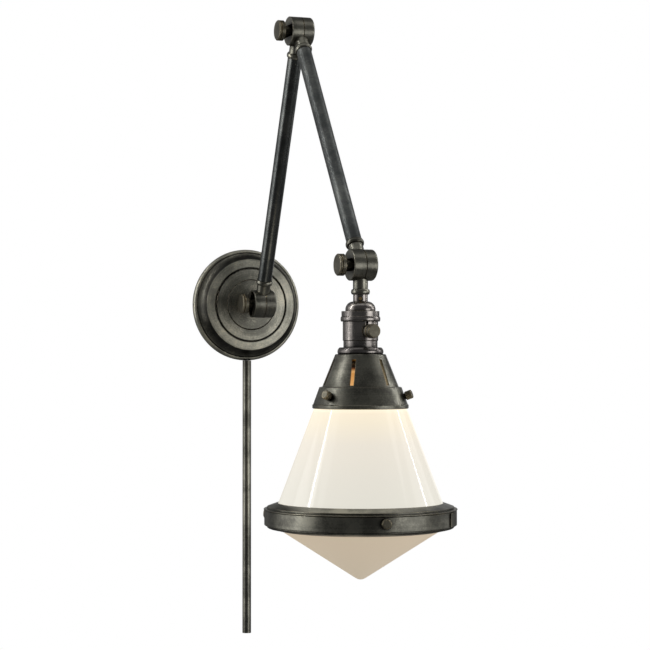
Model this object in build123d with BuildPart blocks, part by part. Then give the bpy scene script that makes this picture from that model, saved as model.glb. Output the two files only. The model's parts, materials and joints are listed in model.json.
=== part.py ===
from build123d import *
import os
from math import atan, cos, degrees, radians, sin, tan

# Swing arm wall sconce. The wall is the plane y = 0, the room is toward -Y, +Z is up and +X is
# to the right. The origin is the centre of the canopy on the wall. Millimetres and degrees.

os.makedirs("parts", exist_ok=True)

# ---------------------------------------------------------------- layout
ARM_LENGTH = 300.0          # hinge axis to hinge axis, each arm
LOWER_ARM_LEAN = 23.2       # lower arm from the vertical, toward the room
UPPER_ARM_LEAN = 34.8       # upper arm from the vertical, toward the room
WALL_JOINT_DEPTH = 54.4     # wall to the first hinge axis

# ---------------------------------------------------------------- fits
RUNNING_FIT = 0.06          # radial, a shaft that turns in its bore
SEAT_FIT = 0.03             # radial, pieces screwed or pressed together
FACE_GAP = 0.1              # between flat faces that slide on each other
BODY_GAP = 0.3              # between curved faces that pass each other

# ---------------------------------------------------------------- canopy and wall fixing
CANOPY_RADIUS = 61.0
CANOPY_WALL = 1.5
CANOPY_RIM = 3.0            # height of the straight rim
CANOPY_DEPTH = 22.5         # wall to the middle of the face
SHOULDER_WIDTH = 3.4        # rounded shoulder above the rim
SHOULDER_DEPTH = 6.2
COVE_EDGE = 10.8            # rim to the top of the hollow moulding
COVE_DEPTH = 17.4
COVE_LIFT = 28.0            # angle at which the hollow leaves the shoulder
STEP_DEPTH = 18.5           # wall to the flat ring
STEP_ROUND = 1.1
GROOVE_INSET = 21.0         # rim to the middle of the black groove
GROOVE_WIDTH = 1.6
GROOVE_DEPTH = 0.9
CONE_INSET = 33.8           # rim to the small step in the face
CONE_STEP = 0.6
CONE_DEPTH = 20.4
FINE_LINE = 0.8             # width of the cut lines at the foot of each step
FINE_LINE_DEPTH = 0.6
BRACKET_THICKNESS = 1.6
BRACKET_WIDTH = 16.0
BRACKET_WIRE_HOLE = 5.5
BRACKET_CLEAR = 6.1         # rim to the outside of a bent tab
TAB_WIDTH = 12.0
TAB_HEIGHT = 5.0
WALL_SCREW_SPACING = 88.9
WALL_SCREW_RADIUS = 2.3
SET_SCREW_RADIUS = 1.25
SET_SCREW_LENGTH = 7.5
SET_SCREW_SUNK = 0.3
CORD_COVER_RADIUS = 4.75
CORD_COVER_WALL = 0.75
CORD_COVER_LENGTH = 299.0
CORD_COVER_SLIT = 3.0
GROMMET_RADIUS = 2.8
GROMMET_BORE = 2.0
GROMMET_LENGTH = 7.0

# ---------------------------------------------------------------- threaded tube
THREAD_RADIUS = 4.85
THREAD_BORE = 3.2
THREAD_REACH = 6.0          # length screwed into each neighbour
BUSHING_FLANGE_RADIUS = 9.0
BUSHING_FLANGE = 2.0
BUSHING_SLEEVE_RADIUS = 6.4
BUSHING_SLEEVE = 3.2
LOCKNUT_ACROSS = 15.0
LOCKNUT_THICKNESS = 5.0
NIPPLE_PROUD = 2.0          # length showing past the locknut
SWIVEL_WASHER_RADIUS = 7.6

# ---------------------------------------------------------------- knuckle joint
BARREL_RADIUS = 14.8
BARREL_LEFT = -11.2
BARREL_RIGHT = 12.8
BARREL_EDGE = 0.5           # small edge on the knob side
BARREL_ROUND = 2.2          # rounded edge on the closed side
SPLIT = 1.0                 # middle of the friction washer, across the object
FRICTION_THICKNESS = 0.8
FRICTION_INNER = 11.0
FRICTION_OUTER = 14.2
NECK_RADIUS = 7.1
NECK_ROOT = 8.0             # distance from the hinge axis at which the neck begins
JOINT_END = 27.6            # hinge axis to the end of the neck's bead
BEAD_RADIUS = 8.9
BEAD_EDGE = 8.1
BEAD_LENGTH = 4.8
WIRE_BORE = 3.0
CAVITY_INNER = 4.5
CAVITY_OUTER = 10.8
CAVITY_DEPTH = 4.0
POCKET_WIDTH = 12.0
POCKET_RADIUS = 13.0
POCKET_DEPTH = 6.0
BOLT_RADIUS = 2.5
BOLT_CAP = 2.6              # metal left over the blind end of the bolt
WAVE_INNER = 2.9
WAVE_OUTER = 5.4
WAVE_THICKNESS = 0.8
KNOB_RADIUS = 10.4
KNOB_LENGTH = 7.0
KNOB_GAP = 5.4              # barrel face to the back of the knob head
KNOB_HUB = 4.6
KNOB_CHAMFER = 0.9
KNOB_GROOVE_AT = 2.0        # from the front face
KNOB_GROOVE_WIDTH = 0.8
KNOB_GROOVE_DEPTH = 0.9
KNOB_SKIN = 2.2             # metal between the bolt hole and the front face

# ---------------------------------------------------------------- arms
TUBE_RADIUS = 7.5
TUBE_WALL = 1.2
PLUG_LENGTH = 9.0
PLUG_INSET = 1.0
LEAD_RADIUS = 1.1
LEAD_SPACING = 2.5
LEAD_CLEAR = 1.2            # between the end of a lead and the barrel's radius

# ---------------------------------------------------------------- socket, drops below the shade hinge
CAP_NECK_RADIUS = 6.9
CAP_NECK_END = 34.2
DOME_INSET = 2.45           # socket shell to the dome
DOME_SHOULDER = 41.8
DOME_CROWN = 1.6            # metal over the middle of the dome
DOME_END = 43.4
CAP_SKIRT = 1.2             # socket shell to the skirt
CAP_SKIRT_END = 48.5
CAP_BEAD = 0.9              # skirt to the middle of the bead
CAP_BEAD_EDGE = 0.5
CAP_END = 53.0
CAP_WALL = 1.0
CAP_SCREW_AZIMUTH = -22.0
CAP_SCREW_RADIUS = 1.6
CAP_SCREW_DROP = 31.6
CAP_SCREW_PROUD = 0.9
SHELL_RADIUS = 16.65
SHELL_STEP_IN = 0.6
SHELL_STEP = 70.7
SHELL_END = 88.6
SHELL_WALL = 0.7
SHELL_TOP = 45.0
SHELL_SLOT = 2.4
LINER_WALL = 0.5
LINER_TOP = 46.0
LINER_END = 86.5
INTERIOR_TOP = 47.5
INTERIOR_END = 66.5
SCREW_SHELL_GAP = 0.95      # liner to the screw shell
SCREW_SHELL_WALL = 0.6
SCREW_SHELL_END = 90.0
CONTACT_RADIUS = 3.0
CONTACT_HEIGHT = 2.5
SWITCH_DROP = 62.3
SWITCH_AZIMUTH = 0.0
SWITCH_SHAFT_RADIUS = 1.8
SWITCH_SHAFT_START = 6.0
SWITCH_HOLE = 2.6
SWITCH_STAND_OFF = 7.35     # socket shell to the back of the collar
SWITCH_COLLAR_RADIUS = 6.7
SWITCH_COLLAR_LENGTH = 5.0
SWITCH_FACE_RADIUS = 6.2
SWITCH_FACE_LENGTH = 6.0
SWITCH_CHAMFER = 0.6

# ---------------------------------------------------------------- shade holder
CLAMP_TOP = 77.3
CLAMP_END = 83.6
CLAMP_TOP_WIDTH = 3.45      # outward from the socket shell
CLAMP_WIDTH = 5.55
CLAMP_ROUND = 3.4
CLAMP_EDGE = 0.5
HOLDER_TURN = -5.0          # the holder as turned on its nipple
HOLDER_WALL = 1.1
HOLDER_TOP_WIDTH = 7.9      # outward from the socket shell
HOLDER_TOP_EDGE = 0.8
HOLDER_CONE_RADIUS = 35.8
HOLDER_CONE_END = 114.0
HOLDER_STEP_RADIUS = 38.6
HOLDER_STEP_DROP = 0.6
HOLDER_SKIRT_RADIUS = 44.4
HOLDER_SKIRT_END = 130.5
HOLDER_BEAD = 0.8           # skirt to the outside of the bead
HOLDER_BEAD_EDGE = 0.6
HOLDER_END = 134.5
LOCK_RING_WIDTH = 3.75
LOCK_RING_HEIGHT = 2.5
VENT_COUNT = 6
VENT_WIDTH = 3.5
VENT_TOP = 88.5
VENT_END = 112.6
THUMBSCREW_COUNT = 3
THUMBSCREW_AZIMUTH = 56.0
THUMBSCREW_DROP = 123.2
THUMBSCREW_SHANK = 1.6
THUMBSCREW_COLLAR = 2.7
THUMBSCREW_COLLAR_HEIGHT = 1.4
THUMBSCREW_HEAD = 4.1
THUMBSCREW_HEIGHT = 8.0
THUMBSCREW_EDGE = 0.6
KNURL_COUNT = 18
KNURL_RADIUS = 0.35

# ---------------------------------------------------------------- glasses and ring
GLASS_WALL = 3.0
FITTER_LIP_RADIUS = 37.4
FITTER_LIP_TOP = 118.2
FITTER_LIP_END = 120.8
FITTER_NECK_RADIUS = 35.9
FITTER_NECK_TOP = 122.0
FITTER_NECK_END = 126.2
SHOULDER_DROP = 127.8
SHOULDER_ROUND = 1.5
GLASS_TOP_RADIUS = 43.6     # at the holder's lower edge
GLASS_LOW_INSET = 13.05     # band to the cone, where the cone meets the ring
GLASS_LOW_DROP = 222.9
GLASS_FLANGE_INSET = 4.6
GLASS_FLANGE_TOP = 229.2
GLASS_FLANGE_THICKNESS = 2.4
RING_INNER_INSET = 12.6
RING_TOP = 222.5
RING_BEVEL_INSET = 2.7
RING_BEVEL_END = 226.0
RING_WALL = 2.0
RING_LIP_ROUND = 0.6
BAND_TOP = 227.8
BAND_HEIGHT = 15.4
BAND_RADIUS = 90.2
BAND_BEAD = 0.5             # outward from the band
BAND_BEAD_HEIGHT = 1.4
BAND_EDGE = 0.4
BAND_WALL = 1.8
RING_TUCK = 2.2             # upper ring inside the band
GASKET_WIDTH = 4.0
RETAINER_THICKNESS = 1.0
RETAINER_WIDTH = 5.2
RETAINER_GAP = 8.0
SPLICE_AZIMUTH = 47.0
SPLICE_WIDTH = 10.0
SPLICE_THICKNESS = 1.2
RING_SCREW_COUNT = 3
RING_SCREW_AZIMUTH = -7.0
RING_SCREW_DROP = 235.2
RING_SCREW_SHANK = 2.0
RING_SCREW_HEAD = 4.6
RING_SCREW_HEIGHT = 4.5
RING_SCREW_CHAMFER = 0.8
SPLICE_MARGIN = 0.7         # above and below the splice plate
LOWER_RING_WALL = 1.5
LOWER_RING_GAP = 0.5        # between the lower ring and the band
LOWER_RING_TOP_GAP = 0.4
LOWER_RING_EDGE = 2.0
LIP_INSET = 13.2            # band to the inner lip
LIP_END = 247.9
LIP_OUTER_END = 245.9
LIP_THICKNESS = 1.3
LOWER_FLANGE_HEIGHT = 3.0
LOWER_CONE_INSET = 14.2
LOWER_CONE_DROP = 247.5
LOWER_CONE_SLOPE = 32.7
TIP_RADIUS = 5.2
TIP_BULGE = 0.3

# ---------------------------------------------------------------- bulb
BULB_TIP_RADIUS = 4.5
BULB_TIP_HEIGHT = 1.2
BULB_INSULATOR_RADIUS = 9.0
BULB_INSULATOR_HEIGHT = 3.2
BULB_BASE_START = 74.5
BULB_BASE_END = 93.0
BULB_BASE_WALL = 1.0
BULB_SEAT = 2.0             # base end to the end of the glass neck
BULB_NECK_END = 99.0
BULB_GLOBE_RADIUS = 30.0
BULB_GLOBE_DROP = 146.0
BULB_CHEEK = 0.72           # share of the globe's radius where the neck's curve meets it
BULB_WALL = 0.8

# ---------------------------------------------------------------- worked out from the above
WALL_PIVOT = Vector(0, -WALL_JOINT_DEPTH, 0)
LOWER_DIRECTION = Vector(0, -sin(radians(LOWER_ARM_LEAN)), cos(radians(LOWER_ARM_LEAN)))
UPPER_DIRECTION = Vector(0, -sin(radians(UPPER_ARM_LEAN)), -cos(radians(UPPER_ARM_LEAN)))
ELBOW_PIVOT = WALL_PIVOT + LOWER_DIRECTION * ARM_LENGTH
SHADE_PIVOT = ELBOW_PIVOT + UPPER_DIRECTION * ARM_LENGTH
DOWN = Vector(0, 0, -1)
TO_WALL = Vector(0, 1, 0)
TO_ROOM = Vector(0, -1, 0)

MOVING_FACE = SPLIT - FRICTION_THICKNESS / 2
FIXED_FACE = SPLIT + FRICTION_THICKNESS / 2
NECK_END = JOINT_END - BEAD_LENGTH
LEAD_START = BARREL_RADIUS + LEAD_CLEAR
POCKET_FLOOR = BARREL_LEFT + POCKET_DEPTH
KNOB_BACK = BARREL_LEFT - KNOB_GAP
KNOB_FRONT = KNOB_BACK - KNOB_LENGTH
TUBE_BORE = TUBE_RADIUS - TUBE_WALL
TAP_RADIUS = THREAD_RADIUS + SEAT_FIT


def across_plane(origin, along):
    """Section plane whose x runs across the object and whose y runs along a neck, arm or stem."""
    return Plane(origin=origin, x_dir=(1, 0, 0), z_dir=Vector(1, 0, 0).cross(Vector(along)))


def x_axis(plane):
    return Axis(plane.origin, plane.x_dir)


def y_axis(plane):
    return Axis(plane.origin, plane.y_dir)


WALL_SECTION = across_plane((0, 0, 0), TO_ROOM)
HEAD_SECTION = across_plane(SHADE_PIVOT, DOWN)


def keep(piece, name):
    """Label a finished piece and write it to its own file."""
    piece.part.label = name
    export_step(piece.part, f"parts/{name}.step")


def revolve_outline(points, plane, axis, mode=Mode.ADD):
    """Turn a closed outline, as (x, y) points on a plane, about an axis that lies in it."""
    with BuildSketch(plane) as section:
        with BuildLine():
            Polyline(*points, close=True)
        make_face()
    revolve(section.sketch, axis=axis, mode=mode)


def turned(plane, *outlines):
    """One node of rings or tubes, each an outline of (radius, distance) about the plane's y."""
    with BuildPart() as piece:
        for points in outlines:
            revolve_outline(points, plane, y_axis(plane))
    return piece


def box_outline(inner, outer, start, end):
    """A plain ring's section, from one radius to another and one distance to another."""
    return [(inner, start), (outer, start), (outer, end), (inner, end)]


def outward_plane(azimuth, drop, rise=0.0, radius=0.0):
    """Section plane at the lamp head whose y points outward at an azimuth, raised by an angle."""
    turn = radians(azimuth)
    out = Vector(sin(turn), -cos(turn), 0)
    up = Vector(0, 0, 1)
    along = out * cos(radians(rise)) + up * sin(radians(rise))
    tangent = up.cross(out)
    return Plane(origin=SHADE_PIVOT + out * radius + DOWN * drop,
                 x_dir=tangent, z_dir=tangent.cross(along))


def facing_plane(azimuth, drop, rise=0.0, radius=0.0):
    """Plane that faces outward at an azimuth: its y runs up the object, or up the slope."""
    side = outward_plane(azimuth, drop, rise, radius)
    return Plane(origin=side.origin, x_dir=side.x_dir, z_dir=side.y_dir)


# ================================================================ canopy and wall fixing
GROOVE_RADIUS = CANOPY_RADIUS - GROOVE_INSET
CONE_RADIUS = CANOPY_RADIUS - CONE_INSET


def canopy_section(inset):
    """Half section of the stepped dome, moved in by the wall for the hollow inside."""
    rim = CANOPY_RADIUS - inset
    shoulder = (rim - SHOULDER_WIDTH, SHOULDER_DEPTH - inset)
    cove_top = (rim - COVE_EDGE, COVE_DEPTH - inset)
    step = (rim - COVE_EDGE - STEP_ROUND, STEP_DEPTH - inset)
    lift = radians(COVE_LIFT)
    with BuildSketch(WALL_SECTION) as section:
        with BuildLine():
            Polyline((0, CANOPY_DEPTH - inset), (0, 0), (rim, 0), (rim, CANOPY_RIM))
            TangentArc((rim, CANOPY_RIM), shoulder, tangent=(0, 1))
            TangentArc(shoulder, cove_top, tangent=(-cos(lift), sin(lift)))
            TangentArc(cove_top, step, tangent=(0, 1))
            Polyline(step, (CONE_RADIUS, CONE_DEPTH - inset),
                     (CONE_RADIUS - CONE_STEP, CONE_DEPTH + CONE_STEP - inset),
                     (BUSHING_FLANGE_RADIUS, CANOPY_DEPTH - inset), (0, CANOPY_DEPTH - inset))
        make_face()
    return section.sketch


def cut_fine_line(radius, depth):
    """Cut a thin V line around the canopy."""
    half = FINE_LINE / 2
    line = [(radius - half, depth + half), (radius, depth - FINE_LINE_DEPTH),
            (radius + half, depth + half)]
    revolve_outline(line, WALL_SECTION, y_axis(WALL_SECTION), Mode.SUBTRACT)


CORD_DEPTH = GROMMET_RADIUS + FACE_GAP


def cord_notch():
    """Section of the small notch in the foot of the canopy that the grommet fills."""
    with BuildSketch(Plane.XY.offset(-CANOPY_RADIUS - 1)) as notch:
        with Locations((0, -CORD_DEPTH)):
            Circle(GROMMET_RADIUS + SEAT_FIT)
        with Locations((0, -CORD_DEPTH / 2)):
            Rectangle(2 * (GROMMET_RADIUS + SEAT_FIT), CORD_DEPTH)
    return notch.sketch


SET_SCREW_DEPTH = BRACKET_THICKNESS + SET_SCREW_RADIUS + 0.1
SET_SCREW_PLANE = Plane(origin=(0, -SET_SCREW_DEPTH, 0), x_dir=(0, 1, 0), z_dir=(1, 0, 0))

with BuildPart() as canopy:
    revolve(canopy_section(0), axis=y_axis(WALL_SECTION))
    revolve(canopy_section(CANOPY_WALL), axis=y_axis(WALL_SECTION), mode=Mode.SUBTRACT)
    groove = box_outline(GROOVE_RADIUS - GROOVE_WIDTH / 2, GROOVE_RADIUS + GROOVE_WIDTH / 2,
                         STEP_DEPTH - GROOVE_DEPTH / 2, CANOPY_DEPTH)
    revolve_outline(groove, WALL_SECTION, y_axis(WALL_SECTION), Mode.SUBTRACT)
    cut_fine_line(CANOPY_RADIUS - SHOULDER_WIDTH, SHOULDER_DEPTH)
    cut_fine_line(CONE_RADIUS + FINE_LINE / 2, CONE_DEPTH)
    stem_hole = box_outline(0, BUSHING_SLEEVE_RADIUS + SEAT_FIT, 0, CANOPY_DEPTH + 1)
    revolve_outline(stem_hole, WALL_SECTION, y_axis(WALL_SECTION), Mode.SUBTRACT)
    extrude(cord_notch(), amount=GROMMET_LENGTH + 1, mode=Mode.SUBTRACT)
    with BuildSketch(SET_SCREW_PLANE):
        Circle(SET_SCREW_RADIUS + SEAT_FIT)
    extrude(amount=CANOPY_RADIUS + 1, both=True, mode=Mode.SUBTRACT)
keep(canopy, "canopy")

BRACKET_REACH = CANOPY_RADIUS - BRACKET_CLEAR
with BuildPart() as mounting_bracket:
    with BuildSketch(Plane.XZ):
        Rectangle(2 * BRACKET_REACH, BRACKET_WIDTH)
        with Locations((-WALL_SCREW_SPACING / 2, 0), (WALL_SCREW_SPACING / 2, 0)):
            Circle(WALL_SCREW_RADIUS, mode=Mode.SUBTRACT)
        Circle(BRACKET_WIRE_HOLE, mode=Mode.SUBTRACT)
    extrude(amount=BRACKET_THICKNESS)
    with BuildSketch(Plane.XZ):
        tab_middle = BRACKET_REACH - BRACKET_THICKNESS / 2
        with Locations((-tab_middle, 0), (tab_middle, 0)):
            Rectangle(BRACKET_THICKNESS, TAB_WIDTH)
    extrude(amount=TAB_HEIGHT)
    for side in (-1, 1):
        with BuildSketch(SET_SCREW_PLANE.offset(side * (BRACKET_REACH - BRACKET_THICKNESS))):
            Circle(SET_SCREW_RADIUS + SEAT_FIT)
        extrude(amount=side * 2 * BRACKET_THICKNESS, mode=Mode.SUBTRACT)
keep(mounting_bracket, "mounting_bracket")

with BuildPart() as canopy_set_screws:
    for side in (-1, 1):
        head = Plane(origin=(side * (CANOPY_RADIUS - SET_SCREW_SUNK), -SET_SCREW_DEPTH, 0),
                     x_dir=(0, 1, 0), z_dir=(-side, 0, 0))
        with BuildSketch(head):
            Circle(SET_SCREW_RADIUS)
        extrude(amount=SET_SCREW_LENGTH)
        with BuildSketch(head):
            Rectangle(2 * SET_SCREW_RADIUS, SET_SCREW_RADIUS / 3)
        extrude(amount=SET_SCREW_RADIUS / 2, mode=Mode.SUBTRACT)
keep(canopy_set_screws, "canopy_set_screws")

SLEEVE_END = CANOPY_DEPTH - BUSHING_SLEEVE
BUSHING_END = CANOPY_DEPTH + BUSHING_FLANGE
stem_bushing = turned(WALL_SECTION, [
    (THREAD_RADIUS + RUNNING_FIT, SLEEVE_END),
    (BUSHING_SLEEVE_RADIUS, SLEEVE_END),
    (BUSHING_SLEEVE_RADIUS, CANOPY_DEPTH),
    (BUSHING_FLANGE_RADIUS, CANOPY_DEPTH),
    (BUSHING_FLANGE_RADIUS, BUSHING_END - 0.6),
    (BUSHING_FLANGE_RADIUS - 0.6, BUSHING_END),
    (THREAD_RADIUS + RUNNING_FIT, BUSHING_END),
])
keep(stem_bushing, "stem_bushing")

with BuildPart() as cord_cover:
    with BuildSketch(Plane.XY.offset(-CANOPY_RADIUS - SEAT_FIT)):
        with Locations((0, -CORD_COVER_RADIUS)):
            Circle(CORD_COVER_RADIUS)
            Circle(CORD_COVER_RADIUS - CORD_COVER_WALL, mode=Mode.SUBTRACT)
        Rectangle(CORD_COVER_SLIT, CORD_COVER_RADIUS, mode=Mode.SUBTRACT)
    extrude(amount=-CORD_COVER_LENGTH)
keep(cord_cover, "cord_cover")

with BuildPart() as cord_grommet:
    with BuildSketch(Plane.XY.offset(-CANOPY_RADIUS)):
        with Locations((0, -CORD_DEPTH)):
            Circle(GROMMET_RADIUS)
            Circle(GROMMET_BORE, mode=Mode.SUBTRACT)
    extrude(amount=GROMMET_LENGTH)
keep(cord_grommet, "cord_grommet")

# ================================================================ swivel in the canopy
WASHER_START = BUSHING_END + FACE_GAP
STEM_NECK_END = WALL_JOINT_DEPTH - JOINT_END
LOCKNUT_START = SLEEVE_END - BODY_GAP - LOCKNUT_THICKNESS

swivel_nipple = turned(WALL_SECTION, box_outline(
    THREAD_BORE, THREAD_RADIUS, LOCKNUT_START - NIPPLE_PROUD, STEM_NECK_END + THREAD_REACH))
keep(swivel_nipple, "swivel_nipple")

with BuildPart() as swivel_locknut:
    with BuildSketch(Plane(origin=TO_ROOM * LOCKNUT_START, x_dir=(1, 0, 0), z_dir=TO_ROOM)):
        RegularPolygon(radius=LOCKNUT_ACROSS / 2, side_count=6, major_radius=False)
        Circle(TAP_RADIUS, mode=Mode.SUBTRACT)
    extrude(amount=LOCKNUT_THICKNESS)
keep(swivel_locknut, "swivel_locknut")

swivel_washer = turned(WALL_SECTION, box_outline(
    TAP_RADIUS, SWIVEL_WASHER_RADIUS, WASHER_START, STEM_NECK_END))
keep(swivel_washer, "swivel_washer")


# ================================================================ knuckle joints
def neck_and_bead(plane):
    """Add the neck and its bead, standing off the barrel along the plane's y."""
    with BuildSketch(plane) as section:
        with BuildLine():
            Polyline((0, JOINT_END), (0, NECK_ROOT), (NECK_RADIUS, NECK_ROOT),
                     (NECK_RADIUS, NECK_END), (BEAD_EDGE, NECK_END))
            ThreePointArc((BEAD_EDGE, NECK_END), (BEAD_RADIUS, NECK_END + BEAD_LENGTH / 2),
                          (BEAD_EDGE, JOINT_END))
            Line((BEAD_EDGE, JOINT_END), (0, JOINT_END))
        make_face()
    revolve(section.sketch, axis=y_axis(plane))


def cut_wire_way(plane, split_face, deeper):
    """Cut the ring-shaped wire cavity at the split face, the wire bore and the threaded seat."""
    cavity = [(split_face, CAVITY_INNER), (split_face, CAVITY_OUTER),
              (split_face + deeper, CAVITY_OUTER), (split_face + deeper, CAVITY_INNER)]
    revolve_outline(cavity, plane, x_axis(plane), Mode.SUBTRACT)
    seat = JOINT_END - THREAD_REACH
    bore = [(0, NECK_ROOT), (WIRE_BORE, NECK_ROOT), (WIRE_BORE, seat), (TAP_RADIUS, seat),
            (TAP_RADIUS, JOINT_END + 1), (0, JOINT_END + 1)]
    revolve_outline(bore, plane, y_axis(plane), Mode.SUBTRACT)


def clear_other_half(plane, split_face, side):
    """Cut the root of the neck back to a sleeve around the barrel of the other half."""
    far = side * (BARREL_RADIUS + BEAD_RADIUS)
    sweep_radius = BARREL_RADIUS + BODY_GAP
    swept = [(split_face, 0), (split_face, sweep_radius), (far, sweep_radius), (far, 0)]
    revolve_outline(swept, plane, x_axis(plane), Mode.SUBTRACT)


def bolt_hole(plane, start, end, radius):
    """Cut a round hole along the hinge axis."""
    hole = [(start, 0), (start, radius), (end, radius), (end, 0)]
    revolve_outline(hole, plane, x_axis(plane), Mode.SUBTRACT)


def fixed_half(plane):
    """Closed half of a knuckle, which holds the bolt."""
    barrel = [(FIXED_FACE, 0), (FIXED_FACE, BARREL_RADIUS), (BARREL_RIGHT, BARREL_RADIUS),
              (BARREL_RIGHT, 0)]
    with BuildPart() as half:
        revolve_outline(barrel, plane, x_axis(plane))
        fillet(half.edges().group_by(Axis.X)[-1], BARREL_ROUND)
        neck_and_bead(plane)
        clear_other_half(plane, FIXED_FACE, -1)
        cut_wire_way(plane, FIXED_FACE, CAVITY_DEPTH)
        bolt_hole(plane, FIXED_FACE, BARREL_RIGHT - BOLT_CAP, BOLT_RADIUS + SEAT_FIT)
    return half


def moving_half(plane, pocket_along):
    """Half of a knuckle on the knob side, with a slotted pocket for the knob's hub."""
    barrel = [(MOVING_FACE, 0), (MOVING_FACE, BARREL_RADIUS), (BARREL_LEFT, BARREL_RADIUS),
              (BARREL_LEFT, 0)]
    left_face = Plane(origin=plane.origin + Vector(BARREL_LEFT, 0, 0),
                      x_dir=pocket_along, z_dir=(-1, 0, 0))
    with BuildPart() as half:
        revolve_outline(barrel, plane, x_axis(plane))
        chamfer(half.edges().group_by(Axis.X)[0], BARREL_EDGE)
        neck_and_bead(plane)
        clear_other_half(plane, MOVING_FACE, 1)
        cut_wire_way(plane, MOVING_FACE, -CAVITY_DEPTH)
        bolt_hole(plane, BARREL_LEFT, MOVING_FACE, BOLT_RADIUS + RUNNING_FIT)
        with BuildSketch(left_face):
            Circle(POCKET_RADIUS)
            Rectangle(2 * POCKET_RADIUS, POCKET_WIDTH, mode=Mode.INTERSECT)
        extrude(amount=-POCKET_DEPTH, mode=Mode.SUBTRACT)
    return half


def hinge_ring(plane, inner, outer, start, end):
    """A washer about the hinge axis."""
    with BuildPart() as ring:
        points = [(start, inner), (start, outer), (end, outer), (end, inner)]
        revolve_outline(points, plane, x_axis(plane))
    return ring


def hinge_bolt(plane):
    """Bolt from the closed half through the moving half into the knob."""
    with BuildPart() as bolt:
        start = BARREL_RIGHT - BOLT_CAP - SEAT_FIT
        end = KNOB_FRONT + KNOB_SKIN + FACE_GAP
        points = [(start, 0), (start, BOLT_RADIUS), (end, BOLT_RADIUS), (end, 0)]
        revolve_outline(points, plane, x_axis(plane))
    return bolt


def tension_knob(plane):
    """Round knob with a hub that reaches into the pocket and a groove behind its flat face."""
    hub_end = POCKET_FLOOR - WAVE_THICKNESS - FACE_GAP
    groove = KNOB_FRONT + KNOB_GROOVE_AT
    with BuildPart() as knob:
        points = [
            (hub_end, BOLT_RADIUS + RUNNING_FIT), (hub_end, KNOB_HUB), (KNOB_BACK, KNOB_HUB),
            (KNOB_BACK, KNOB_RADIUS - KNOB_CHAMFER), (KNOB_BACK - KNOB_CHAMFER, KNOB_RADIUS),
            (groove + KNOB_GROOVE_WIDTH, KNOB_RADIUS),
            (groove + KNOB_GROOVE_WIDTH, KNOB_RADIUS - KNOB_GROOVE_DEPTH),
            (groove, KNOB_RADIUS - KNOB_GROOVE_DEPTH), (groove, KNOB_RADIUS),
            (KNOB_FRONT + KNOB_CHAMFER, KNOB_RADIUS), (KNOB_FRONT, KNOB_RADIUS - KNOB_CHAMFER),
            (KNOB_FRONT, 0), (KNOB_FRONT + KNOB_SKIN, 0),
            (KNOB_FRONT + KNOB_SKIN, BOLT_RADIUS + RUNNING_FIT),
        ]
        revolve_outline(points, plane, x_axis(plane))
    return knob


def make_knuckle(name, pivot, inboard, outboard, pocket_along):
    """All six pieces of one knuckle, between the directions of its two necks."""
    fixed_plane = across_plane(pivot, inboard)
    moving_plane = across_plane(pivot, outboard)
    wave_start = POCKET_FLOOR - WAVE_THICKNESS
    keep(fixed_half(fixed_plane), f"{name}_fixed_half")
    keep(hinge_bolt(fixed_plane), f"{name}_bolt")
    keep(hinge_ring(fixed_plane, FRICTION_INNER, FRICTION_OUTER, MOVING_FACE + SEAT_FIT, FIXED_FACE),
         f"{name}_friction_washer")
    keep(moving_half(moving_plane, pocket_along), f"{name}_moving_half")
    keep(hinge_ring(moving_plane, WAVE_INNER, WAVE_OUTER, wave_start, POCKET_FLOOR),
         f"{name}_wave_washer")
    keep(tension_knob(fixed_plane), f"{name}_knob")


make_knuckle("wall_joint", WALL_PIVOT, TO_WALL, LOWER_DIRECTION, LOWER_DIRECTION)
make_knuckle("elbow", ELBOW_PIVOT, LOWER_DIRECTION * -1, UPPER_DIRECTION, TO_ROOM)
make_knuckle("shade_joint", SHADE_PIVOT, UPPER_DIRECTION * -1, DOWN, TO_ROOM)


# ================================================================ arms
def straight_leads(plane, start, end):
    """Two insulated leads side by side along the plane's y."""
    with BuildPart() as leads:
        with BuildSketch(Plane(origin=plane.origin + plane.y_dir * start,
                               x_dir=plane.x_dir, z_dir=plane.y_dir)):
            with Locations((-LEAD_SPACING / 2, 0), (LEAD_SPACING / 2, 0)):
                Circle(LEAD_RADIUS)
        extrude(amount=end - start)
    return leads


def make_arm(name, pivot, direction):
    """Tube, end plugs, threaded nipples and leads between two knuckles."""
    plane = across_plane(pivot, direction)
    far_end = ARM_LENGTH - JOINT_END
    plug = (TAP_RADIUS, TUBE_BORE - SEAT_FIT)
    keep(turned(plane, box_outline(TUBE_BORE, TUBE_RADIUS, JOINT_END, far_end)), f"{name}_tube")
    near_plug = box_outline(*plug, JOINT_END + PLUG_INSET, JOINT_END + PLUG_INSET + PLUG_LENGTH)
    far_plug = box_outline(*plug, far_end - PLUG_INSET - PLUG_LENGTH, far_end - PLUG_INSET)
    keep(turned(plane, near_plug, far_plug), f"{name}_plugs")
    near_nipple = box_outline(THREAD_BORE, THREAD_RADIUS, JOINT_END - THREAD_REACH + SEAT_FIT,
                              JOINT_END + THREAD_REACH)
    far_nipple = box_outline(THREAD_BORE, THREAD_RADIUS, far_end - THREAD_REACH,
                             far_end + THREAD_REACH - SEAT_FIT)
    keep(turned(plane, near_nipple, far_nipple), f"{name}_nipples")
    keep(straight_leads(plane, LEAD_START, ARM_LENGTH - LEAD_START), f"{name}_leads")


make_arm("lower_arm", WALL_PIVOT, LOWER_DIRECTION)
make_arm("upper_arm", ELBOW_PIVOT, UPPER_DIRECTION)

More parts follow.
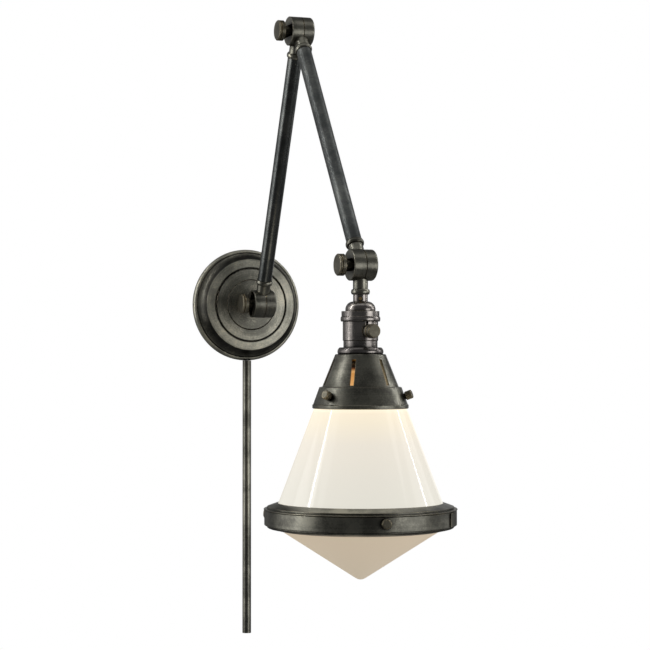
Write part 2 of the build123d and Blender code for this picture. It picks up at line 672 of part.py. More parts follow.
# ================================================================ lamp socket
NIPPLE_END = JOINT_END + THREAD_REACH
keep(turned(HEAD_SECTION, box_outline(THREAD_BORE, THREAD_RADIUS, JOINT_END - THREAD_REACH + SEAT_FIT,
                                      NIPPLE_END)), "shade_nipple")
keep(straight_leads(HEAD_SECTION, LEAD_START, INTERIOR_TOP), "shade_leads")

SHELL_LOWER_RADIUS = SHELL_RADIUS - SHELL_STEP_IN
SHELL_BORE = SHELL_RADIUS + SEAT_FIT
DOME_RADIUS = SHELL_RADIUS - DOME_INSET
CAP_SKIRT_RADIUS = SHELL_RADIUS + CAP_SKIRT
CAP_BEAD_RADIUS = CAP_SKIRT_RADIUS + CAP_BEAD
CAP_EDGE_RADIUS = CAP_BEAD_RADIUS - CAP_BEAD_EDGE
CAP_SCREW_PLANE = outward_plane(CAP_SCREW_AZIMUTH, CAP_SCREW_DROP)


def dome_arc(centre_radius, dome_radius, crown):
    """A quarter of an ellipse from the neck out to the side of the dome."""
    EllipticalCenterArc((centre_radius, DOME_SHOULDER), dome_radius - centre_radius,
                        DOME_SHOULDER - crown, start_angle=-90, arc_size=90)


with BuildPart() as socket_cap:
    with BuildSketch(HEAD_SECTION):
        with BuildLine():
            Polyline((TAP_RADIUS, CAP_NECK_END + DOME_CROWN), (TAP_RADIUS, JOINT_END),
                     (CAP_NECK_RADIUS, JOINT_END), (CAP_NECK_RADIUS, CAP_NECK_END))
            dome_arc(CAP_NECK_RADIUS, DOME_RADIUS, CAP_NECK_END)
            Polyline((DOME_RADIUS, DOME_SHOULDER), (DOME_RADIUS, DOME_END),
                     (CAP_SKIRT_RADIUS, DOME_END), (CAP_SKIRT_RADIUS, CAP_SKIRT_END),
                     (CAP_EDGE_RADIUS, CAP_SKIRT_END))
            ThreePointArc((CAP_EDGE_RADIUS, CAP_SKIRT_END),
                          (CAP_BEAD_RADIUS, (CAP_SKIRT_END + CAP_END) / 2),
                          (CAP_EDGE_RADIUS, CAP_END))
            Polyline((CAP_EDGE_RADIUS, CAP_END), (SHELL_BORE, CAP_END),
                     (SHELL_BORE, DOME_END + CAP_WALL), (DOME_RADIUS - CAP_WALL, DOME_END + CAP_WALL),
                     (DOME_RADIUS - CAP_WALL, DOME_SHOULDER))
            dome_arc(TAP_RADIUS, DOME_RADIUS - CAP_WALL, CAP_NECK_END + DOME_CROWN)
        make_face()
    revolve(axis=y_axis(HEAD_SECTION))
    screw_hole = box_outline(0, CAP_SCREW_RADIUS + SEAT_FIT, THREAD_RADIUS, CAP_NECK_RADIUS + 1)
    revolve_outline(screw_hole, CAP_SCREW_PLANE, y_axis(CAP_SCREW_PLANE), Mode.SUBTRACT)
keep(socket_cap, "socket_cap")

with BuildPart() as cap_set_screw:
    screw_end = CAP_NECK_RADIUS + CAP_SCREW_PROUD
    shank = box_outline(0, CAP_SCREW_RADIUS, THREAD_RADIUS + SEAT_FIT, screw_end)
    revolve_outline(shank, CAP_SCREW_PLANE, y_axis(CAP_SCREW_PLANE))
    with BuildSketch(facing_plane(CAP_SCREW_AZIMUTH, CAP_SCREW_DROP, radius=screw_end)):
        Rectangle(2 * CAP_SCREW_RADIUS, CAP_SCREW_RADIUS / 3, rotation=25)
    extrude(amount=-CAP_SCREW_PROUD / 2, mode=Mode.SUBTRACT)
keep(cap_set_screw, "cap_set_screw")

SWITCH_PLANE = outward_plane(SWITCH_AZIMUTH, SWITCH_DROP)
SWITCH_COLLAR_AT = SHELL_RADIUS + SWITCH_STAND_OFF
SWITCH_FACE_AT = SWITCH_COLLAR_AT + SWITCH_COLLAR_LENGTH
SWITCH_END = SWITCH_FACE_AT + SWITCH_FACE_LENGTH


def cut_switch_hole(radius):
    """Cut the round hole for the switch shaft out through one side of a tube."""
    hole = box_outline(0, radius, SWITCH_SHAFT_START, SWITCH_COLLAR_AT)
    revolve_outline(hole, SWITCH_PLANE, y_axis(SWITCH_PLANE), Mode.SUBTRACT)


with BuildPart() as socket_shell:
    shell_outline = [
        (SHELL_RADIUS - SHELL_WALL, SHELL_TOP), (SHELL_RADIUS, SHELL_TOP),
        (SHELL_RADIUS, SHELL_STEP), (SHELL_LOWER_RADIUS, SHELL_STEP + SHELL_STEP_IN),
        (SHELL_LOWER_RADIUS, SHELL_END), (SHELL_LOWER_RADIUS - SHELL_WALL, SHELL_END),
        (SHELL_LOWER_RADIUS - SHELL_WALL, SHELL_STEP),
        (SHELL_RADIUS - SHELL_WALL, SHELL_STEP - SHELL_STEP_IN),
    ]
    revolve_outline(shell_outline, HEAD_SECTION, y_axis(HEAD_SECTION))
    cut_switch_hole(SWITCH_HOLE)
    slot_height = SWITCH_DROP - CAP_END + 1
    with BuildSketch(facing_plane(SWITCH_AZIMUTH, SWITCH_DROP - slot_height / 2,
                                  radius=SHELL_RADIUS - 2 * SHELL_WALL)):
        Rectangle(SHELL_SLOT, slot_height)
    extrude(amount=3 * SHELL_WALL, mode=Mode.SUBTRACT)
keep(socket_shell, "socket_shell")

LINER_RADIUS = SHELL_LOWER_RADIUS - SHELL_WALL - SEAT_FIT
INTERIOR_RADIUS = LINER_RADIUS - LINER_WALL - SEAT_FIT
with BuildPart() as socket_liner:
    liner_outline = box_outline(LINER_RADIUS - LINER_WALL, LINER_RADIUS, LINER_TOP, LINER_END)
    revolve_outline(liner_outline, HEAD_SECTION, y_axis(HEAD_SECTION))
    cut_switch_hole(SWITCH_HOLE)
keep(socket_liner, "socket_liner")

with BuildPart() as socket_interior:
    revolve_outline(box_outline(0, INTERIOR_RADIUS, INTERIOR_TOP, INTERIOR_END), HEAD_SECTION,
                    y_axis(HEAD_SECTION))
    cut_switch_hole(SWITCH_SHAFT_RADIUS + RUNNING_FIT)
keep(socket_interior, "socket_interior")

SCREW_SHELL_RADIUS = LINER_RADIUS - LINER_WALL + SEAT_FIT - SCREW_SHELL_GAP
SHELL_PLATE = INTERIOR_END + SCREW_SHELL_WALL
screw_shell = turned(HEAD_SECTION, [
    (CONTACT_RADIUS + 1, INTERIOR_END), (SCREW_SHELL_RADIUS, INTERIOR_END),
    (SCREW_SHELL_RADIUS, SCREW_SHELL_END),
    (SCREW_SHELL_RADIUS - SCREW_SHELL_WALL, SCREW_SHELL_END),
    (SCREW_SHELL_RADIUS - SCREW_SHELL_WALL, SHELL_PLATE), (CONTACT_RADIUS + 1, SHELL_PLATE),
])
keep(screw_shell, "screw_shell")
CONTACT_END = INTERIOR_END + CONTACT_HEIGHT
keep(turned(HEAD_SECTION, box_outline(0, CONTACT_RADIUS, INTERIOR_END, CONTACT_END)),
     "center_contact")

with BuildPart() as switch_knob:
    knob_outline = [
        (0, SWITCH_SHAFT_START + FACE_GAP), (SWITCH_SHAFT_RADIUS, SWITCH_SHAFT_START + FACE_GAP),
        (SWITCH_SHAFT_RADIUS, SWITCH_COLLAR_AT),
        (SWITCH_COLLAR_RADIUS - SWITCH_CHAMFER, SWITCH_COLLAR_AT),
        (SWITCH_COLLAR_RADIUS, SWITCH_COLLAR_AT + SWITCH_CHAMFER),
        (SWITCH_COLLAR_RADIUS, SWITCH_FACE_AT - SWITCH_CHAMFER),
        (SWITCH_FACE_RADIUS - SWITCH_CHAMFER, SWITCH_FACE_AT),
        (SWITCH_FACE_RADIUS, SWITCH_FACE_AT + SWITCH_CHAMFER),
        (SWITCH_FACE_RADIUS, SWITCH_END - SWITCH_CHAMFER),
        (SWITCH_FACE_RADIUS - SWITCH_CHAMFER, SWITCH_END), (0, SWITCH_END),
    ]
    revolve_outline(knob_outline, SWITCH_PLANE, y_axis(SWITCH_PLANE))
keep(switch_knob, "switch_knob")

# ================================================================ shade holder
RING_BORE = SHELL_LOWER_RADIUS + SEAT_FIT
CLAMP_TOP_RADIUS = SHELL_LOWER_RADIUS + CLAMP_TOP_WIDTH
CLAMP_RADIUS = SHELL_LOWER_RADIUS + CLAMP_WIDTH
with BuildPart() as shade_clamp_ring:
    with BuildSketch(HEAD_SECTION):
        with BuildLine():
            Line((RING_BORE, CLAMP_TOP), (CLAMP_TOP_RADIUS, CLAMP_TOP))
            ThreePointArc((CLAMP_TOP_RADIUS, CLAMP_TOP), (CLAMP_RADIUS, CLAMP_TOP + CLAMP_ROUND),
                          (CLAMP_RADIUS - CLAMP_EDGE, CLAMP_END))
            Polyline((CLAMP_RADIUS - CLAMP_EDGE, CLAMP_END), (RING_BORE, CLAMP_END),
                     (RING_BORE, CLAMP_TOP))
        make_face()
    revolve(axis=y_axis(HEAD_SECTION))
keep(shade_clamp_ring, "shade_clamp_ring")

PLATE_END = CLAMP_END + HOLDER_WALL
LOCK_RING_RADIUS = SHELL_LOWER_RADIUS + LOCK_RING_WIDTH
keep(turned(HEAD_SECTION, box_outline(RING_BORE, LOCK_RING_RADIUS, PLATE_END,
                                      PLATE_END + LOCK_RING_HEIGHT)), "holder_lock_ring")

SKIRT_TOP = HOLDER_CONE_END + HOLDER_STEP_DROP
HOLDER_TOP_RADIUS = SHELL_LOWER_RADIUS + HOLDER_TOP_WIDTH
HOLDER_BORE = HOLDER_SKIRT_RADIUS - HOLDER_WALL / 2
HOLDER_BEAD_RADIUS = HOLDER_SKIRT_RADIUS + HOLDER_BEAD
SKIRT_FALL = HOLDER_SKIRT_END - SKIRT_TOP
SKIRT_SPREAD = HOLDER_SKIRT_RADIUS - HOLDER_STEP_RADIUS
THUMBSCREW_RADIUS = HOLDER_STEP_RADIUS + SKIRT_SPREAD * (THUMBSCREW_DROP - SKIRT_TOP) / SKIRT_FALL
THUMBSCREW_RISE = degrees(atan(SKIRT_SPREAD / SKIRT_FALL))
THUMBSCREW_REACH = (THUMBSCREW_RADIUS - FITTER_NECK_RADIUS - FACE_GAP
                    - THUMBSCREW_SHANK * sin(radians(THUMBSCREW_RISE)))
THUMBSCREW_TIP = THUMBSCREW_REACH / cos(radians(THUMBSCREW_RISE))


def spread(count, first):
    """Azimuths of a number of equal fixings around the lamp head."""
    return [first + 360 * turn / count for turn in range(count)]


def post(azimuth, drop, rise, radius, *outlines):
    """Add solids turned about a line that points outward from the lamp head."""
    plane = outward_plane(azimuth, drop, rise, radius)
    for points in outlines:
        revolve_outline(points, plane, y_axis(plane))


with BuildPart() as shade_holder:
    holder_outline = [
        (RING_BORE, CLAMP_END), (HOLDER_TOP_RADIUS - HOLDER_TOP_EDGE, CLAMP_END),
        (HOLDER_TOP_RADIUS, CLAMP_END + HOLDER_TOP_EDGE), (HOLDER_CONE_RADIUS, HOLDER_CONE_END),
        (HOLDER_STEP_RADIUS, SKIRT_TOP), (HOLDER_SKIRT_RADIUS, HOLDER_SKIRT_END),
        (HOLDER_BEAD_RADIUS, HOLDER_SKIRT_END + HOLDER_BEAD_EDGE),
        (HOLDER_BEAD_RADIUS, HOLDER_END - HOLDER_BEAD_EDGE),
        (HOLDER_BEAD_RADIUS - HOLDER_BEAD_EDGE, HOLDER_END), (HOLDER_BORE, HOLDER_END),
        (HOLDER_BORE, HOLDER_SKIRT_END), (HOLDER_STEP_RADIUS - HOLDER_WALL, SKIRT_TOP + HOLDER_WALL),
        (HOLDER_CONE_RADIUS - HOLDER_WALL, SKIRT_TOP + HOLDER_WALL / 2),
        (HOLDER_TOP_RADIUS - HOLDER_WALL, PLATE_END), (RING_BORE, PLATE_END),
    ]
    revolve_outline(holder_outline, HEAD_SECTION, y_axis(HEAD_SECTION))
    for azimuth in spread(VENT_COUNT, HOLDER_TURN + 180 / VENT_COUNT):
        with BuildSketch(facing_plane(azimuth, (VENT_TOP + VENT_END) / 2, radius=LOCK_RING_RADIUS)):
            Rectangle(VENT_WIDTH, VENT_END - VENT_TOP)
        extrude(amount=HOLDER_STEP_RADIUS - LOCK_RING_RADIUS, mode=Mode.SUBTRACT)
    for azimuth in spread(THUMBSCREW_COUNT, THUMBSCREW_AZIMUTH):
        screw_line = outward_plane(azimuth, THUMBSCREW_DROP, THUMBSCREW_RISE, THUMBSCREW_RADIUS)
        screw_hole = box_outline(0, THUMBSCREW_SHANK + SEAT_FIT, -THUMBSCREW_TIP,
                                 THUMBSCREW_COLLAR_HEIGHT)
        revolve_outline(screw_hole, screw_line, y_axis(screw_line), Mode.SUBTRACT)
keep(shade_holder, "shade_holder")

with BuildPart() as holder_thumbscrews:
    for azimuth in spread(THUMBSCREW_COUNT, THUMBSCREW_AZIMUTH):
        post(azimuth, THUMBSCREW_DROP, THUMBSCREW_RISE, THUMBSCREW_RADIUS, [
            (0, -THUMBSCREW_TIP), (THUMBSCREW_SHANK, -THUMBSCREW_TIP),
            (THUMBSCREW_SHANK, SEAT_FIT), (THUMBSCREW_COLLAR, SEAT_FIT),
            (THUMBSCREW_COLLAR, THUMBSCREW_COLLAR_HEIGHT),
            (THUMBSCREW_HEAD - THUMBSCREW_EDGE, THUMBSCREW_COLLAR_HEIGHT),
            (THUMBSCREW_HEAD, THUMBSCREW_COLLAR_HEIGHT + THUMBSCREW_EDGE),
            (THUMBSCREW_HEAD, THUMBSCREW_HEIGHT - THUMBSCREW_EDGE),
            (THUMBSCREW_HEAD - THUMBSCREW_EDGE, THUMBSCREW_HEIGHT), (0, THUMBSCREW_HEIGHT)])
        base = facing_plane(azimuth, THUMBSCREW_DROP, THUMBSCREW_RISE, THUMBSCREW_RADIUS)
        with BuildSketch(base.offset(THUMBSCREW_COLLAR_HEIGHT)):
            with PolarLocations(THUMBSCREW_HEAD, KNURL_COUNT):
                Circle(KNURL_RADIUS)
        extrude(amount=THUMBSCREW_HEIGHT, mode=Mode.SUBTRACT)
keep(holder_thumbscrews, "holder_thumbscrews")

# ================================================================ upper glass and ring
GLASS_LOW_RADIUS = BAND_RADIUS - GLASS_LOW_INSET
GLASS_FLANGE_RADIUS = BAND_RADIUS - GLASS_FLANGE_INSET
RING_INNER_RADIUS = BAND_RADIUS - RING_INNER_INSET
RING_BEVEL_RADIUS = BAND_RADIUS - RING_BEVEL_INSET
BAND_BEAD_RADIUS = BAND_RADIUS + BAND_BEAD
LIP_RADIUS = BAND_RADIUS - LIP_INSET
LOWER_CONE_RADIUS = BAND_RADIUS - LOWER_CONE_INSET
CONE_SPREAD = (GLASS_LOW_RADIUS - GLASS_TOP_RADIUS) / (GLASS_LOW_DROP - HOLDER_END)


def glass_radius(drop):
    """Outer radius of the upper glass cone at a drop."""
    return GLASS_TOP_RADIUS + CONE_SPREAD * (drop - HOLDER_END)


FLANGE_END = GLASS_FLANGE_TOP + GLASS_FLANGE_THICKNESS
upper_glass = turned(HEAD_SECTION, [
    (FITTER_LIP_RADIUS, FITTER_LIP_TOP), (FITTER_LIP_RADIUS, FITTER_LIP_END),
    (FITTER_NECK_RADIUS, FITTER_NECK_TOP), (FITTER_NECK_RADIUS, FITTER_NECK_END),
    (glass_radius(SHOULDER_DROP), SHOULDER_DROP),
    (glass_radius(SHOULDER_DROP + SHOULDER_ROUND), SHOULDER_DROP + SHOULDER_ROUND),
    (glass_radius(GLASS_FLANGE_TOP), GLASS_FLANGE_TOP), (GLASS_FLANGE_RADIUS, GLASS_FLANGE_TOP),
    (GLASS_FLANGE_RADIUS, FLANGE_END), (glass_radius(FLANGE_END) - GLASS_WALL, FLANGE_END),
    (glass_radius(SHOULDER_DROP) - GLASS_WALL, SHOULDER_DROP + GLASS_WALL / 2),
    (FITTER_NECK_RADIUS - GLASS_WALL, FITTER_NECK_END + GLASS_WALL / 2),
    (FITTER_NECK_RADIUS - GLASS_WALL, FITTER_LIP_TOP),
])
keep(upper_glass, "upper_glass")

BAND_BORE = BAND_RADIUS - BAND_WALL
UPPER_RING_RADIUS = BAND_BORE - SEAT_FIT
UPPER_RING_END = BAND_TOP + RING_TUCK
BEVEL_FALL = (RING_BEVEL_END - RING_TOP) / (RING_BEVEL_RADIUS - RING_INNER_RADIUS)


def bevel_underside(radius):
    """Drop of the bevel's underside at a radius."""
    return RING_TOP + RING_WALL + FACE_GAP + BEVEL_FALL * (radius - RING_INNER_RADIUS)


RING_LIP_RADIUS = glass_radius(RING_TOP + RING_WALL) + BODY_GAP
upper_ring = turned(HEAD_SECTION, [
    (RING_INNER_RADIUS, RING_TOP), (RING_BEVEL_RADIUS, RING_BEVEL_END),
    (RING_BEVEL_RADIUS, BAND_TOP), (UPPER_RING_RADIUS, BAND_TOP),
    (UPPER_RING_RADIUS, UPPER_RING_END), (RING_BEVEL_RADIUS - RING_WALL / 2, UPPER_RING_END),
    (RING_BEVEL_RADIUS - RING_WALL / 2, bevel_underside(RING_BEVEL_RADIUS - RING_WALL / 2)),
    (RING_LIP_RADIUS + RING_LIP_ROUND, bevel_underside(RING_LIP_RADIUS + RING_LIP_ROUND)),
    (RING_LIP_RADIUS, RING_TOP + RING_WALL),
])
keep(upper_ring, "upper_ring")

GASKET_RADIUS = RING_BEVEL_RADIUS - RING_WALL / 2 - BODY_GAP
GASKET_INNER = GASKET_RADIUS - GASKET_WIDTH
glass_gasket = turned(HEAD_SECTION, [
    (GASKET_INNER, bevel_underside(GASKET_INNER) + SEAT_FIT),
    (GASKET_RADIUS, bevel_underside(GASKET_RADIUS) + SEAT_FIT),
    (GASKET_RADIUS, GLASS_FLANGE_TOP - SEAT_FIT), (GASKET_INNER, GLASS_FLANGE_TOP - SEAT_FIT),
])
keep(glass_gasket, "glass_gasket")

RETAINER_START = FLANGE_END + SEAT_FIT
with BuildPart() as glass_retaining_ring:
    retainer = box_outline(UPPER_RING_RADIUS - RETAINER_WIDTH, UPPER_RING_RADIUS, RETAINER_START,
                           RETAINER_START + RETAINER_THICKNESS)
    revolve_outline(retainer, HEAD_SECTION, y_axis(HEAD_SECTION))
    with BuildSketch(facing_plane(180, RETAINER_START, radius=LIP_RADIUS)):
        Rectangle(RETAINER_GAP, 3 * RETAINER_THICKNESS)
    extrude(amount=BAND_RADIUS - LIP_RADIUS, mode=Mode.SUBTRACT)
keep(glass_retaining_ring, "glass_retaining_ring")

BAND_END = BAND_TOP + BAND_HEIGHT


def cut_ring_screw_holes():
    """Cut the three screw holes through the band."""
    for azimuth in spread(RING_SCREW_COUNT, RING_SCREW_AZIMUTH):
        line = outward_plane(azimuth, RING_SCREW_DROP)
        hole = box_outline(0, RING_SCREW_SHANK + SEAT_FIT, LIP_RADIUS, BAND_RADIUS + 1)
        revolve_outline(hole, line, y_axis(line), Mode.SUBTRACT)


with BuildPart() as ring_band:
    band_outline = [
        (BAND_BORE, BAND_TOP), (BAND_RADIUS, BAND_TOP), (BAND_BEAD_RADIUS, BAND_TOP + BAND_EDGE),
        (BAND_BEAD_RADIUS, BAND_TOP + BAND_BEAD_HEIGHT - BAND_EDGE),
        (BAND_RADIUS - BAND_EDGE, BAND_TOP + BAND_BEAD_HEIGHT),
        (BAND_RADIUS, BAND_TOP + BAND_BEAD_HEIGHT + BAND_EDGE),
        (BAND_RADIUS, BAND_END - BAND_EDGE), (BAND_RADIUS - BAND_EDGE, BAND_END),
        (BAND_BORE, BAND_END),
    ]
    revolve_outline(band_outline, HEAD_SECTION, y_axis(HEAD_SECTION))
    cut_ring_screw_holes()
keep(ring_band, "ring_band")

SPLICE_TOP = BAND_TOP + BAND_BEAD_HEIGHT + SPLICE_MARGIN
with BuildPart() as band_splice:
    splice = box_outline(BAND_RADIUS, BAND_RADIUS + SPLICE_THICKNESS, SPLICE_TOP,
                         BAND_END - SPLICE_MARGIN)
    revolve_outline(splice, HEAD_SECTION, y_axis(HEAD_SECTION))
    with BuildSketch(facing_plane(SPLICE_AZIMUTH, RING_SCREW_DROP)):
        Rectangle(SPLICE_WIDTH, 2 * BAND_HEIGHT)
    extrude(amount=BAND_RADIUS + 2 * SPLICE_THICKNESS, mode=Mode.INTERSECT)
keep(band_splice, "band_splice")

LOWER_RING_RADIUS = BAND_BORE - LOWER_RING_GAP
with BuildPart() as ring_screws:
    for azimuth in spread(RING_SCREW_COUNT, RING_SCREW_AZIMUTH):
        post(azimuth, RING_SCREW_DROP, 0, 0, [
            (0, LOWER_RING_RADIUS + FACE_GAP), (RING_SCREW_SHANK, LOWER_RING_RADIUS + FACE_GAP),
            (RING_SCREW_SHANK, BAND_RADIUS), (RING_SCREW_HEAD, BAND_RADIUS),
            (RING_SCREW_HEAD, BAND_RADIUS + RING_SCREW_HEIGHT - RING_SCREW_CHAMFER),
            (RING_SCREW_HEAD - RING_SCREW_CHAMFER, BAND_RADIUS + RING_SCREW_HEIGHT),
            (0, BAND_RADIUS + RING_SCREW_HEIGHT)])
keep(ring_screws, "ring_screws")

# ================================================================ lower shade
LOWER_RING_TOP = RETAINER_START + RETAINER_THICKNESS + LOWER_RING_TOP_GAP
LOWER_RING_BORE = LOWER_RING_RADIUS - LOWER_RING_WALL
LIP_OUTER_RADIUS = LOWER_RING_RADIUS - LOWER_RING_EDGE
LIP_SLOPE = (LIP_END - LIP_OUTER_END) / (LIP_OUTER_RADIUS - LIP_RADIUS)


def lip_top(radius):
    """Drop of the lower ring's inner lip, on its upper side, at a radius."""
    return LIP_END - LIP_THICKNESS - LIP_SLOPE * (radius - LIP_RADIUS)


with BuildPart() as lower_ring:
    with BuildSketch(HEAD_SECTION):
        with BuildLine():
            edge_drop = LIP_OUTER_END - LOWER_RING_EDGE
            Polyline((LIP_OUTER_RADIUS, LIP_OUTER_END), (LIP_RADIUS, LIP_END),
                     (LIP_RADIUS, LIP_END - LIP_THICKNESS),
                     (LOWER_RING_BORE, lip_top(LOWER_RING_BORE)), (LOWER_RING_BORE, LOWER_RING_TOP),
                     (LOWER_RING_RADIUS, LOWER_RING_TOP), (LOWER_RING_RADIUS, edge_drop))
            TangentArc((LOWER_RING_RADIUS, edge_drop), (LIP_OUTER_RADIUS, LIP_OUTER_END),
                       tangent=(0, 1))
        make_face()
    revolve(axis=y_axis(HEAD_SECTION))
keep(lower_ring, "lower_ring")

LOWER_FLANGE_RADIUS = LOWER_RING_BORE - BODY_GAP
CONE_RISE = tan(radians(LOWER_CONE_SLOPE))
CONE_TIP = LOWER_CONE_DROP + LOWER_CONE_RADIUS * CONE_RISE
TIP_DROP = TIP_RADIUS * CONE_RISE / 2
INNER_DROP = GLASS_WALL / cos(radians(LOWER_CONE_SLOPE))


def cone_drop(radius):
    """Drop of the lower glass's outer face at a radius."""
    return CONE_TIP - radius * CONE_RISE


with BuildPart() as lower_glass:
    with BuildSketch(HEAD_SECTION):
        with BuildLine():
            flange_top = lip_top(LOWER_FLANGE_RADIUS) - LOWER_FLANGE_HEIGHT
            inner_top = LOWER_CONE_RADIUS - GLASS_WALL
            Polyline((0, CONE_TIP - INNER_DROP - TIP_DROP / 2), (0, CONE_TIP - TIP_DROP))
            ThreePointArc((0, CONE_TIP - TIP_DROP),
                          (TIP_RADIUS / 2,
                           (CONE_TIP - TIP_DROP + cone_drop(TIP_RADIUS)) / 2 + TIP_BULGE),
                          (TIP_RADIUS, cone_drop(TIP_RADIUS)))
            Polyline((TIP_RADIUS, cone_drop(TIP_RADIUS)), (LOWER_CONE_RADIUS, LOWER_CONE_DROP),
                     (LOWER_CONE_RADIUS, lip_top(LOWER_CONE_RADIUS) - SEAT_FIT),
                     (LOWER_FLANGE_RADIUS, lip_top(LOWER_FLANGE_RADIUS) - SEAT_FIT),
                     (LOWER_FLANGE_RADIUS, flange_top), (inner_top, flange_top),
                     (0, CONE_TIP - INNER_DROP - TIP_DROP / 2))
        make_face()
    revolve(axis=y_axis(HEAD_SECTION))
keep(lower_glass, "lower_glass")

# ================================================================ bulb
BASE_RADIUS = SCREW_SHELL_RADIUS - SCREW_SHELL_WALL - RUNNING_FIT
CONTACT_FACE = CONTACT_END + FACE_GAP
BASE_BORE = BASE_RADIUS - BULB_BASE_WALL
bulb_base = turned(HEAD_SECTION, [
    (0, CONTACT_FACE), (BULB_TIP_RADIUS, CONTACT_FACE),
    (BULB_TIP_RADIUS + BULB_BASE_WALL, CONTACT_FACE + BULB_TIP_HEIGHT),
    (BULB_INSULATOR_RADIUS, CONTACT_FACE + BULB_INSULATOR_HEIGHT),
    (BASE_RADIUS, BULB_BASE_START), (BASE_RADIUS, BULB_BASE_END), (BASE_BORE, BULB_BASE_END),
    (BASE_BORE, BULB_BASE_START + BULB_BASE_WALL),
    (0, CONTACT_FACE + BULB_INSULATOR_HEIGHT + BULB_BASE_WALL),
])
keep(bulb_base, "bulb_base")


def bulb_section(inset):
    """Half section of the bulb's envelope, moved in by a wall for the hollow inside."""
    neck = BASE_BORE - SEAT_FIT - inset
    globe = BULB_GLOBE_RADIUS - inset
    neck_start = BULB_BASE_START + BULB_SEAT + inset
    cheek = globe * BULB_CHEEK
    with BuildSketch(HEAD_SECTION) as section:
        with BuildLine():
            Polyline((0, BULB_GLOBE_DROP + globe), (0, neck_start), (neck, neck_start),
                     (neck, BULB_NECK_END))
            Spline((neck, BULB_NECK_END), (cheek, BULB_GLOBE_DROP - cheek), (globe, BULB_GLOBE_DROP),
                   tangents=[(0, 1), (0, 1)])
            ThreePointArc((globe, BULB_GLOBE_DROP),
                          (globe * sin(radians(45)), BULB_GLOBE_DROP + globe * cos(radians(45))),
                          (0, BULB_GLOBE_DROP + globe))
        make_face()
    return section.sketch


with BuildPart() as bulb_glass:
    revolve(bulb_section(0), axis=y_axis(HEAD_SECTION))
    revolve(bulb_section(BULB_WALL), axis=y_axis(HEAD_SECTION), mode=Mode.SUBTRACT)
keep(bulb_glass, "bulb_glass")
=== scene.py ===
# %% [markdown]
# # A swing arm wall light in aged bronze and opal glass
# The design is already made and fixed: every tube, joint and screw comes in as one node, in metres,
# with the wall at y = 0 and the room toward -Y. This notebook gives it its looks. It sets up the
# view, writes one finish for each real material, models the two glasses and the bulb again with
# soft edges, and lights the room.

# %% Load the fixed frame
import json
import math

import bpy
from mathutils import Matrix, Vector


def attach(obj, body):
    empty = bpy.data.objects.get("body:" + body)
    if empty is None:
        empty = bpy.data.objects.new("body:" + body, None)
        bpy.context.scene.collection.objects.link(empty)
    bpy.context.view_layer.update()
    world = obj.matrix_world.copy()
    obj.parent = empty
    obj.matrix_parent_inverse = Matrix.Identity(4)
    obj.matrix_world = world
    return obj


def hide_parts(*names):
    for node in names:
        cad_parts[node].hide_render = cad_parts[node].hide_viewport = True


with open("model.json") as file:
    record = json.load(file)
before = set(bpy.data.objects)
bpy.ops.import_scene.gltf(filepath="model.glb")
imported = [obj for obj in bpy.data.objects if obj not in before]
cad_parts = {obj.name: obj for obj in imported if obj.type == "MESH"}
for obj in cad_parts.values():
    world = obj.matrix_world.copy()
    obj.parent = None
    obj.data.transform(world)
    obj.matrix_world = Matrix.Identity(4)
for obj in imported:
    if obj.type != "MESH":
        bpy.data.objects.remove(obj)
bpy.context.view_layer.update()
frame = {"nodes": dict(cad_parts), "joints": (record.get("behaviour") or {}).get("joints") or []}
nodes = frame["nodes"]
MM = 0.001

# %% [markdown]
# ## Where things are
# Three hinge axes run across the object. Their places are read from the joints, so that every
# pattern and every new piece can be measured from them. The head hangs straight below the last one.

# %% Find the hinges
places = {joint["name"]: Vector(joint["pos_m"]) for joint in frame["joints"] if "pos_m" in joint}
wall_pivot = places["wall_knuckle"]
elbow = places["elbow_knuckle"]
head = places["shade_knuckle"]
print("wall joint", wall_pivot, "elbow", elbow, "head", head)

# %% [markdown]
# ## The view
# The camera stands a little left of the light and almost level with the middle of it. It is far
# back with a long lens, so the shapes are drawn with little perspective.

# %% Camera
LENS_MM, SENSOR_MM = 108, 36
CAMERA_PLACE = (-0.675, -2.045, -0.055)
CAMERA_TILT, CAMERA_TURN = 90.88, -20.60

camera_data = bpy.data.cameras.new("camera")
camera_data.lens = LENS_MM
camera_data.sensor_width = SENSOR_MM
camera = bpy.data.objects.new("camera", camera_data)
camera.location = CAMERA_PLACE
camera.rotation_euler = (math.radians(CAMERA_TILT), 0, math.radians(CAMERA_TURN))
bpy.context.scene.collection.objects.link(camera)
bpy.context.scene.camera = camera
print("camera at", tuple(camera.location))

# %% [markdown]
# ## Node trees as arithmetic
# A finish is a small sum: so much patina, plus a little grain, times how worn the edge is. Written as
# nodes by hand, sums get long, so `Wire` wraps one socket and turns Python's operators into Math
# nodes. Every other node goes through one method, `Finish.add`.


# %% A socket that can be added and multiplied
class Wire:
    """One output socket of a finish, on which arithmetic adds Math nodes."""

    def __init__(self, finish, socket):
        self.finish = finish
        self.socket = socket

    def math(self, operation, *others):
        return self.finish.add("ShaderNodeMath", {"operation": operation}, self, *others)

    def __add__(self, other):
        return self.math("ADD", other)

    def __sub__(self, other):
        return self.math("SUBTRACT", other)

    def __rsub__(self, other):
        return self.math("MULTIPLY_ADD", -1.0, other)

    def __mul__(self, other):
        return self.math("MULTIPLY", other)

    __radd__ = __add__


